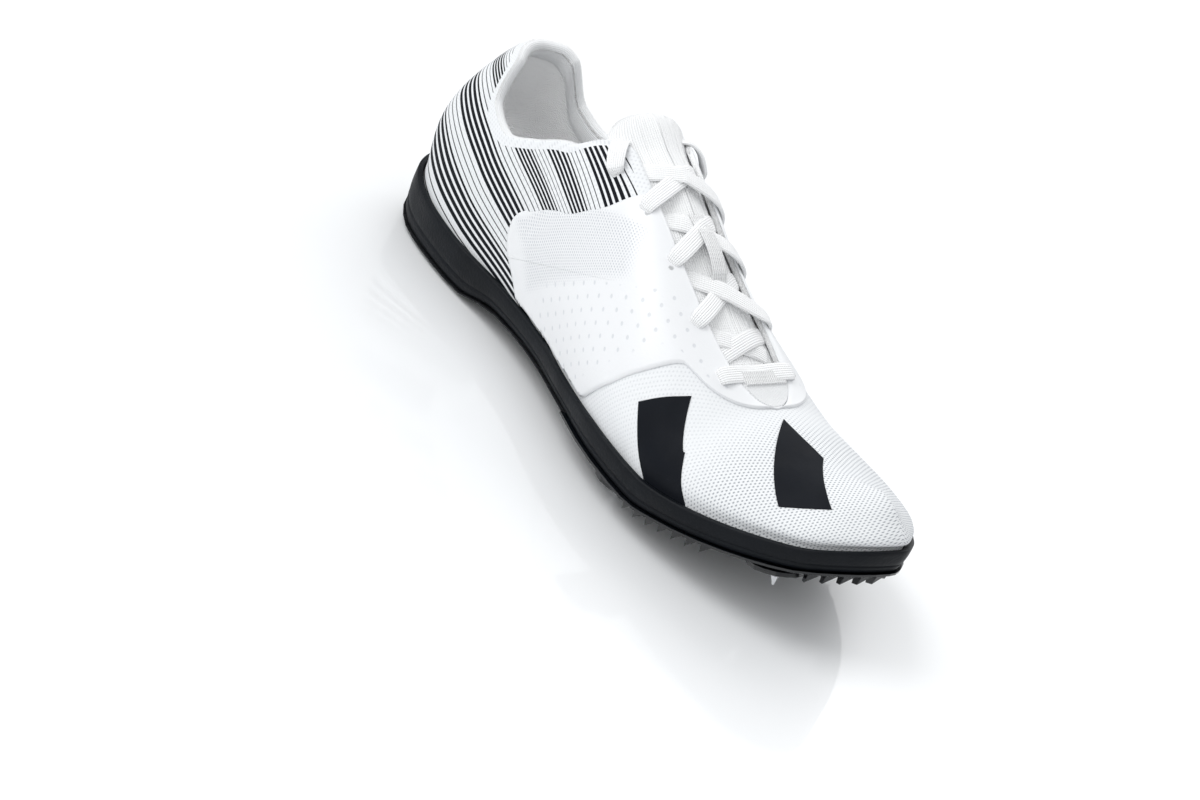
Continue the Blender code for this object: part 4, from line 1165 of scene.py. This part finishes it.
@dataclass
class Saddle:
    """Film overlay: saddle and eyestay, cut from the upper's own function."""

    last: Last
    wardrobe: Wardrobe
    lift: float = 0.30 * MM
    thickness: float = 0.75 * MM
    border: float = 11 * MM
    edges: Table = Table(
        "up rear front",
        (0.000, 0.065, 0.600), (0.160, -0.046, 0.535), (0.260, -0.098, 0.495), (0.340, -0.115, 0.463),
        (0.420, -0.118, 0.438), (0.480, -0.104, 0.420), (0.515, -0.080, 0.409), (0.530, -0.020, 0.405),
        (0.540, 0.050, 0.402), (0.571, 0.086, 0.394), (0.613, 0.113, 0.383), (0.664, 0.139, 0.371),
        (0.714, 0.166, 0.358), (0.745, 0.180, 0.345), (0.790, 0.196, 0.235), (0.850, 0.208, 0.165),
        (0.920, 0.216, 0.125), (1.000, 0.222, 0.105),
    )

    def build(self) -> None:
        """Film between the table's rear and front edges, thinner at its own border."""
        last = self.last
        # Even rows, and finer ones at the rear edge's shoulder and where the front edge turns.
        even, shoulder, stay = ((0, 1, 64), (0.508, 0.564, 15), (0.74, 0.80, 8))
        up = np.sort(np.concatenate([np.linspace(*rows) for rows in (even, shoulder, stay)]))
        turn = last.throat_length * np.array([0.97, 0.985, 0.995, 1.0])
        grids, fields = [], []
        for side in SIDES:
            rear = last.throat_top + last.throat_length * self.edges.read("rear", up)
            front = last.throat_top + last.throat_length + self.border
            front = front - last.throat_length * self.edges.read("front", up)
            places = (last.throat_top + turn - rear[-1]) / (front[-1] - rear[-1])
            across = np.sort(np.r_[np.linspace(0, 1, 130), places])
            spine_x = rear + (front - rear) * across[:, None]
            stations = last.station_of_spine(spine_x)
            rib = Rib(last, stations, side)
            clear = (last.rim_height * last.side.read("rim", rib.along) + 2 * last.gap) / rib.rise
            shares = np.maximum(up[None], 0.95 * clear)
            grid = read_wall(last, stations, side, shares)
            away = np.minimum(np.abs(spine_x - rear), np.abs(spine_x - front)) * np.ones_like(shares)
            open_throat = grid.ahead < last.throat_top + last.throat_length
            away = np.minimum(away, np.where(open_throat, grid.below, 1.0))
            grids.append(grid)
            fields.append({"cloth": grid.cloth, "border": away, "ahead": grid.ahead,
                           "share": grid.share, "hole": eyelet_distance(last, grid.points)})
        sheet = Sheet([g.points for g in grids], [False, True], fields)
        edge = ease(-0.5 * MM, 1.3 * MM, sheet.field("border")[:, 0])
        crease = crease_depth(sheet.points)
        outside = self.lift + self.thickness * edge + crease
        film = sheet.solid("saddle_film", self.lift * 0.2 + crease, outside, 0.2)
        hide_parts("eyestay_overlay")
        self.wardrobe.dress(film, Part.FILM, self.wardrobe.film)


class Arch:
    """The upper's closed arch as a height over plan points."""

    def __init__(self, last: Last) -> None:
        """Keeps the form."""
        self.last = last

    def height(self, plan: Array) -> Array:
        """Height of the arch, found by walking back along each point's rib.

        Args:
            plan: points with x and y.

        Returns:
            Heights.
        """
        shape = plan.shape[:-1]
        x, y = plan.reshape(-1, 2).T
        height = np.empty(len(x))
        for side in SIDES:
            here = (y - self.last.spine(self.last.station_of_spine(x))[:, 1]) * side >= 0
            spine_x = x[here].copy()
            for _ in range(6):
                rib = Rib(self.last, self.last.station_of_spine(spine_x), side)
                share = (y[here] - rib.top[:, 1]) / (rib.foot[:, 1] - rib.top[:, 1])
                spine_x = x[here] - (rib.foot[:, 0] - rib.top[:, 0]) * share
            rib = Rib(self.last, self.last.station_of_spine(spine_x), side)
            share = np.clip((y[here] - rib.top[:, 1]) / (rib.foot[:, 1] - rib.top[:, 1]), 0, 1)
            height[here] = rib.base + rib.rise * (1 - share**rib.power) ** (1 / rib.power)
        return height.reshape(shape)

    def lifted(self, plan: Array, offset: Array) -> tuple[Array, Array]:
        """Points at an offset along the arch's normal.

        Args:
            plan: points with x and y.
            offset: how far out each one goes.

        Returns:
            The points, and the arch's normals there.
        """
        step = 0.5 * MM
        slopes = [(self.height(plan + d) - self.height(plan - d)) / (2 * step)
                  for d in (np.array([step, 0.0]), np.array([0.0, step]))]
        normal = unit(np.stack([-slopes[0], -slopes[1], np.ones_like(slopes[0])], -1))
        base = np.concatenate([plan, self.height(plan)[..., None]], -1)
        return base + normal * np.asarray(offset)[..., None], normal


@dataclass
class Lacing:
    """Flat laces: a bar at the toe end and four crossings, run through the eyelets."""

    last: Last
    wardrobe: Wardrobe
    width: float = 7.2 * MM
    thickness: float = 1.6 * MM
    over: float = 2.2 * MM
    under: float = -2.95 * MM
    sag: float = -1.2 * MM
    stagger: float = 0.75 * MM
    crossing_reach: float = 0.86
    end_inset: float = 1.0 * MM
    first_back: float = 7.5 * MM
    first_inset: float = 5.0 * MM
    bar: tuple = (
        (0.00, -1.00, -2.0, 0.60), (0.05, -1.00, 0.6, 0.75), (0.12, -0.93, 2.2, 0.95),
        (0.30, -0.60, 1.2, 1.00), (0.50, 0.00, 0.0, 1.00), (0.70, 0.60, 1.2, 1.00),
        (0.88, 0.93, 2.2, 0.95), (0.95, 1.00, 0.6, 0.75), (1.00, 1.00, -2.0, 0.60),
    )

    def band(self, name: str, keys: Array, nodes: tuple = ()) -> None:
        """Band through keys of time, x, y, offset off the arch, and width share.

        Args:
            name: the piece's name.
            keys: rows of the path's keys.
            nodes: CAD nodes that the band stands for.
        """
        arch = Arch(self.last)
        time = np.linspace(0, 1, 72)
        x, y, offset, share = (smooth(keys[:, 0], keys[:, i], time, flat_peaks=i > 2) for i in range(1, 5))
        path, normal = arch.lifted(np.stack([x, y], -1), offset)
        along = unit(np.gradient(path, axis=0))
        across = unit(np.cross(along, normal))
        up = np.cross(across, along)
        rings = sweep(path, across, up, self.width * share, self.thickness * (1.35 - 0.35 * share), 18, 3.0)
        lace = closed_rings(name, rings)
        if nodes:
            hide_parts(*nodes)
        self.wardrobe.dress(lace, Part.LACE, self.wardrobe.lace)

    def build(self) -> None:
        """Bar, crossings from each eyelet to under the opposite eyestay, and the tucked ends."""
        low, reach = eyelet_place(self.last, 0, MEDIAL)
        keys = np.array([(t, low[0], y * reach, h * MM, w) for t, y, h, w in self.bar])
        self.band("lace_bar_band", keys, ("lace_bar",))
        for pair in range(4):
            for side in SIDES:
                self.crossing(pair, side)
        for side in SIDES:
            self.tuck(side)
        self.close_throat()

    def close_throat(self) -> None:
        """Bridge that fills the throat's toe end, and the stitched strip on it, from the arch."""
        arch, last = Arch(self.last), self.last
        for name, start, end, spare, low, high, finish in (
            ("throat_bridge", 0.1905, 0.2030, 0.4 * MM, -1.2 * MM, 0.8 * MM, self.wardrobe.collar),
            ("tack_strip", 0.1898, 0.1945, -0.6 * MM, 0.2 * MM, 1.6 * MM, self.wardrobe.webbing),
        ):
            x = np.linspace(start, end, 40)[:, None]
            y = last.spine(last.station_of_spine(x))[..., 1]
            y = y + (last.throat_half(x) + spare) * np.linspace(-1, 1, 48)
            plan = np.stack([x + 0 * y, y], -1)
            sheet = Sheet([arch.lifted(plan, 0 * y)[0]], [False], [{"cloth": plan}])
            self.wardrobe.dress(sheet.solid(name, low, high, rounding=0.15), Part.LACE, finish)

    def crossing(self, pair: int, side: int) -> None:
        """One run from an eyelet to under the opposite eyestay's edge at the next pair.

        Args:
            pair: eyelet pair from the toe end.
            side: side of the eyelet.
        """
        start, reach = eyelet_place(self.last, pair, MEDIAL)
        end, end_reach = eyelet_place(self.last, pair + 1, MEDIAL)
        top = self.stagger * (1 if (side == LATERAL) == (pair % 2 == 0) else -1)
        x0, x1 = start[0], start[0] + (end[0] - start[0]) * self.crossing_reach
        y0, y1 = side * reach, -side * (end_reach - self.end_inset)
        if pair == 0:
            x0, y0 = x0 - self.first_back, side * (reach - self.first_inset)
            first = [(0.0, 0.0, self.under, 1.0), (0.12, 0.10, self.under + 0.4 * MM, 1.0),
                     (0.28, 0.26, self.sag - 0.8 * MM, 1.0)]
        else:
            first = [(0.0, 0.0, -2.0 * MM, 0.6), (0.05, 0.0, 0.6 * MM, 0.72), (0.12, 0.06, self.over, 0.95),
                     (0.27, 0.22, 1.0 * MM, 1.0)]
        rows = first + [(0.5, 0.48, self.sag + top, 1.0), (0.68, 0.68, self.sag - 0.5 * MM, 1.0),
                        (0.82, 0.83, self.under + 0.2 * MM, 0.98), (1.0, 1.0, self.under, 0.9)]
        keys = np.array([(t, x0 + (x1 - x0) * p, y0 + (y1 - y0) * p, h, w) for t, p, h, w in rows])
        nodes = (f"lace_crossing_{pair + 1}",)
        self.band(f"lace_run_{pair + 1}_{SIDE_NAMES[side]}", keys, nodes)

    def tuck(self, side: int) -> None:
        """Lace end from the top eyelet back over the eyestay's end and in behind the tongue.

        Args:
            side: side of the eyelet.
        """
        start, reach = eyelet_place(self.last, len(EYELETS) - 1, MEDIAL)
        rows = [(0.0, 0.0, 0.0, -2.0 * MM, 0.6), (0.1, 0.3, 0.0, 0.6 * MM, 0.72),
                (0.22, 1.8, 0.4, self.over, 0.95), (0.45, 5.0, 1.8, self.over + 0.2 * MM, 1.0),
                (0.65, 8.5, 3.6, 0.8 * MM, 1.0), (0.82, 10.2, 4.8, -2.6 * MM, 0.95),
                (1.0, 10.6, 5.2, -6.5 * MM, 0.9)]
        keys = np.array([(t, start[0] - back * MM, side * (reach - inward * MM), h, w)
                         for t, back, inward, h, w in rows])
        self.band(f"lace_end_{SIDE_NAMES[side]}", keys)


@dataclass
class Tongue:
    """Padded ribbed tongue and the webbing keeper on it."""

    last: Last
    wardrobe: Wardrobe
    width: float = 44 * MM
    length: float = 124 * MM
    thickness: float = 3.0 * MM
    ribs: int = 21
    rib_height: float = 0.15 * MM
    root_ahead: float = 11 * MM
    sink: float = 2.9 * MM
    tip_rise: float = 3.0 * MM
    puff: float = 0.5 * MM
    keeper_length: float = 26 * MM
    keeper_width: float = 7.0 * MM
    keeper_thickness: float = 0.9 * MM

    def build(self) -> None:
        """Closed pad: rings across the tongue, thin ovals bent over the arch, ribbed on top."""
        last = self.last
        place = np.r_[np.linspace(0, 0.9, 100), 0.9 + 0.1 * np.sin(np.pi / 2 * np.linspace(0, 1, 30)[1:])]
        root = last.throat_top + last.throat_length + self.root_ahead
        tip = ((place - 0.90) / 0.10).clip(0, 1)
        half = self.width / 2 * (0.62 + 0.38 * np.sqrt(1 - tip**2.2))
        end = np.sqrt(np.clip(1 - ((place - 0.965) / 0.035).clip(0, 1) ** 2, 0.003, 1))[:, None]
        turn = 2 * np.pi * np.arange(144) / 144
        a = np.cos(turn)[None] + 0 * half[:, None]
        bow = (np.sign(np.sin(turn)) * np.abs(np.sin(turn)) ** 0.62)[None]
        off, x = a * half[:, None], (root - self.length * place)[:, None] + 0 * a
        top = bow > 0
        span = self.thickness * end * bow / 2
        ribs = self.rib_height * np.cos(np.pi * self.ribs * off / (self.width / 2)) * top * end
        puff = self.puff * np.sin(np.pi * place)[:, None] * (1 - a**2) * top
        middle = self.tip_rise * ease(0.86, 1.0, place)[:, None] - (self.sink + self.thickness / 2)
        plan = np.stack([x, last.spine(last.station_of_spine(x))[..., 1] + off], -1)
        rings = Arch(last).lifted(plan, middle + span + ribs + puff)[0]
        tongue = closed_rings("tongue_pad", rings)
        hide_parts("tongue")
        self.wardrobe.dress(tongue, Part.KNIT, self.wardrobe.tongue)
        self.build_keeper()

    def build_keeper(self) -> None:
        """Webbing strap stitched down at both ends, with the lace passing under its middle."""
        start = self.last.throat_top + self.last.throat_length * EYELETS[3] - 2 * MM
        time = np.linspace(0, 1, 60)
        along = start + self.keeper_length * time
        offset = smooth([0, 0.1, 0.3, 0.55, 0.8, 0.92, 1],
                        np.array([-1.9, -1.5, 0.5, 1.25, 0.3, -1.5, -1.9]) * MM, time)
        path, normal = Arch(self.last).lifted(np.stack([along, 0 * along], -1), offset)
        heading = unit(np.gradient(path, axis=0))
        across = unit(np.cross(heading, normal))
        rings = sweep(path, across, np.cross(across, heading), self.keeper_width,
                      self.keeper_thickness, 18, 3.2)
        keeper = closed_rings("keeper_strap", rings)
        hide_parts("tongue_lace_keeper")
        self.wardrobe.dress(keeper, Part.LACE, self.wardrobe.webbing)


@dataclass
class Sole:
    """Foam midsole with its raised rim, insole, spike plate and heel rubber."""

    last: Last
    wardrobe: Wardrobe
    skin: float = 2.4 * MM
    liner_gap: float = 2.0 * MM

    def layer(self, name: str, rows: list[tuple], stations: Array) -> bpy.types.Object:
        """Closed piece whose rows lie at an inset, a share of the way to the spine, and a height.

        Args:
            name: the piece's name.
            rows: inset, share and height function of each row.
            stations: stations round the outline.

        Returns:
            The new object.
        """
        grids = []
        for side in SIDES:
            grid = np.empty((len(stations), len(rows), 3))
            for index, (inset, share, height) in enumerate(rows):
                start = self.last.outline(stations, side, inset)
                plan = start + (self.last.spine(stations) - start) * share
                grid[:, index] = np.c_[plan, height(plan[:, 0])]
            grids.append(grid)
        sheet = Sheet(grids, [False, True])
        return make_piece(name, sheet.points, sheet.faces)

    def build_midsole(self) -> None:
        """Rim, flank with a fine groove, and rounded lower edge, as rows round the outline."""
        last = self.last
        width = last.rim_width

        def foot(x: Array) -> Array:
            """Underside of the foam."""
            return last.ground(x) + self.skin

        def flank(share: float) -> Callable[[Array], Array]:
            """Height at a share of the way from the underside to the rim."""
            return lambda x: foot(x) + (last.rim(x) - foot(x)) * share

        def below_rim(drop: float) -> Callable[[Array], Array]:
            """Height at a distance under the rim."""
            return lambda x: last.rim(x) - drop

        sides = ((1.5, 0.03), (1.0, 0.10), (0.62, 0.22), (0.45, 0.29), (0.66, 0.315), (0.66, 0.335),
                 (0.36, 0.36), (0.15, 0.48), (0.0, 0.62), (0.0, 0.8))
        crest = ((0.05, 0.9), (0.25, 0.4), (0.6, 0.1))
        rows = [(0.0, 1.0, foot), (0.0, 0.5, foot), (7 * MM, 0.0, foot), (3.2 * MM, 0.0, foot),
                (2.2 * MM, 0.0, lambda x: foot(x) + 0.08 * MM)]
        rows += [(inset * MM, 0.0, flank(share)) for inset, share in sides]
        rows += [(inset * MM, 0.0, below_rim(drop * MM)) for inset, drop in crest]
        rows += [(1.1 * MM, 0.0, last.rim), (width - 0.7 * MM, 0.0, last.rim),
                 (width - 0.25 * MM, 0.0, below_rim(0.15 * MM)), (width, 0.0, below_rim(0.6 * MM)),
                 (width, 0.0, last.bed), (0.0, 0.5, last.bed), (0.0, 1.0, last.bed)]
        piece = self.layer("midsole_foam", rows, np.linspace(0, 1, 360))
        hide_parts("midsole")
        self.wardrobe.dress(piece, Part.FOAM, self.wardrobe.foam)

    def build_insole(self) -> None:
        """Cupped sock liner with a rounded edge."""
        last = self.last
        inset = last.rim_width + self.liner_gap + 3 * last.gap

        def top(rise: float) -> Callable[[Array], Array]:
            """Height over the bed."""
            return lambda x: last.bed(x) + rise

        rows = [(inset, 1.0, top(0.3 * MM)), (inset, 0.0, top(0.3 * MM)), (inset, 0.0, top(4.2 * MM)),
                (inset + 0.5 * MM, 0.0, top(4.7 * MM)), (inset + 1.2 * MM, 0.0, top(4.6 * MM)),
                (inset + 3 * MM, 0.0, top(3.9 * MM)), (inset + 7 * MM, 0.0, top(3.3 * MM)),
                (0.0, 0.6, top(3.2 * MM)), (0.0, 1.0, top(3.2 * MM))]
        piece = self.layer("sock_liner", rows, np.linspace(0, 1, 200))
        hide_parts("insole")
        self.wardrobe.dress(piece, Part.LINING, self.wardrobe.thread)

    def dress_frame(self) -> None:
        """Gives the sole's CAD nodes their finishes, by the first start of a name that fits."""
        wardrobe = self.wardrobe
        starts = {"seat": wardrobe.plate, "spike_plate": wardrobe.plate, "spike_": wardrobe.steel,
                  "heel_outsole": wardrobe.rubber}
        for name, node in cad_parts.items():
            finish = next((starts[start] for start in starts if name.startswith(start)), None)
            if finish is not None:
                for slot in node.material_slots:
                    slot.material = finish

    def build(self) -> None:
        """All of the sole's pieces."""
        self.build_midsole()
        self.build_insole()
        self.dress_frame()


@dataclass
class Prints:
    """Two plain slanted blocks of ink on the forefoot, laid on the upper."""

    last: Last
    wardrobe: Wardrobe
    lift: float = 0.30 * MM
    sink: float = 0.20 * MM
    blocks: tuple = (
        ("block_side", ((0.1813, 0.403), (0.1903, 0.664), (0.2136, 0.067), (0.2005, 0.025))),
        ("block_top", ((0.2087, 0.985), (0.2308, 0.995), (0.2470, 0.520), (0.2350, 0.350))),
    )

    def build(self) -> None:
        """Each block is a bilinear patch of spine place and girth share, on both sides."""
        u, v = np.linspace(0, 1, 60)[:, None], np.linspace(0, 1, 120)[None]
        for name, corners in self.blocks:
            a, b, c, d = (np.array(corner)[:, None, None] for corner in corners)
            place = a * (1 - u) * (1 - v) + b * u * (1 - v) + c * u * v + d * (1 - u) * v
            stations = self.last.station_of_spine(place[0])
            grid = read_wall(self.last, stations, LATERAL, place[1])
            sheet = Sheet([grid.points], [False], [{"cloth": grid.cloth}])
            if (sheet.normals()[:, 1]).mean() > 0:
                sheet.faces, sheet.raw_faces = sheet.faces[:, ::-1], sheet.raw_faces[:, ::-1]
            crease = crease_depth(sheet.points)
            piece = sheet.solid(name, crease - self.sink, crease + self.lift, rounding=0.0)
            self.wardrobe.dress(piece, Part.FILM, self.wardrobe.dark)


@dataclass
class Studio:
    """Pale floor, soft lights and the camera at the photograph's angle."""

    eye: tuple = (0.70013, -0.80817, 0.58818)
    ahead: tuple = (-0.57913, 0.65796, -0.48134)
    roll: float = -25.641
    lens: float = 97.72
    sensor: float = 36.0
    floor_reach: float = 6.0
    flat_reach: float = 1.6
    lights: tuple = (
        ("key", (-0.7, -0.9, 1.5), 1.2, 17.0),
        ("fill", (0.5, -1.4, 0.8), 1.3, 4.5),
        ("rear", (-0.4, 1.3, 1.1), 1.4, 9.0),
    )
    aim: tuple = (0, 0, 0.03)
    surround: float = 0.68

    def build(self) -> None:
        """Makes the stage, the lights and the camera."""
        self.build_floor()
        self.build_lights()
        self.build_camera()

    def build_floor(self) -> None:
        """Shallow dish: flat in the middle, rising with the square of the distance far out."""
        reach = np.linspace(-1, 1, 81)
        x, y = np.meshgrid(reach, reach, indexing="ij")
        x, y = (self.floor_reach * axis * np.abs(axis) for axis in (x, y))
        far = np.maximum(np.hypot(x, y) - self.flat_reach, 0)
        points = np.stack([x, y, 0.05 * far**2], -1)
        mesh = bpy.data.meshes.new("floor")
        mesh.from_pydata(points.reshape(-1, 3).tolist(), [], grid_quads(x.shape).tolist())
        mesh.shade_smooth()
        floor = bpy.data.objects.new("floor", mesh)
        bpy.context.scene.collection.objects.link(floor)
        s = Shader("pale_floor", (0.90, 0.91, 0.92), 0.42, Coat_Weight=0.7, Coat_Roughness=0.06)
        rough = s.step(s.noise(3.0), 0.3, 0.7, 0.38, 0.46)
        mesh.materials.append(s.finish(rough=rough))

    def build_lights(self) -> None:
        """Large soft boxes over and beside the shoe, in an even white surround."""
        for name, place, size, power in self.lights:
            light = bpy.data.lights.new(name, "AREA")
            light.shape, light.size, light.energy = "SQUARE", size, power
            lamp = bpy.data.objects.new(name, light)
            lamp.location = place
            heading = Vector(self.aim) - Vector(place)
            lamp.rotation_euler = heading.to_track_quat("-Z", "Y").to_euler()
            bpy.context.scene.collection.objects.link(lamp)
        world = bpy.data.worlds.new("surround")
        world.use_nodes = True
        background = world.node_tree.nodes["Background"]
        background.inputs[0].default_value = (0.97, 0.985, 1.0, 1)
        background.inputs[1].default_value = self.surround
        bpy.context.scene.world = world
        bpy.context.scene.view_settings.view_transform = "Standard"

    def build_camera(self) -> None:
        """Camera from its place, its view line and its roll about that line."""
        ahead = np.array(self.ahead)
        level = unit(np.array([ahead[1], -ahead[0], 0.0]))
        over = np.cross(level, ahead)
        turn = math.radians(self.roll)
        right = level * math.cos(turn) - over * math.sin(turn)
        up = np.cross(right, ahead)
        camera = bpy.data.cameras.new("camera")
        camera.lens, camera.sensor_width = self.lens, self.sensor
        holder = bpy.data.objects.new("camera", camera)
        rotation = Matrix([Vector(axis) for axis in (right, up, -ahead)]).transposed().to_4x4()
        holder.matrix_world = Matrix.Translation(self.eye) @ rotation
        bpy.context.scene.collection.objects.link(holder)
        bpy.context.scene.camera = holder


def main() -> None:
    """Builds the studio and every sub-assembly in order."""
    logging.basicConfig(level=logging.INFO, format="%(message)s")
    last, wardrobe = Last(), Wardrobe()
    builders = {"studio": Studio(), "upper": Upper(last, wardrobe), "saddle": Saddle(last, wardrobe),
                "tongue": Tongue(last, wardrobe), "lacing": Lacing(last, wardrobe),
                "sole": Sole(last, wardrobe), "prints": Prints(last, wardrobe)}
    for name, builder in builders.items():
        builder.build()
        LOG.info("built the %s", name)


if __name__ == "__main__":
    main()
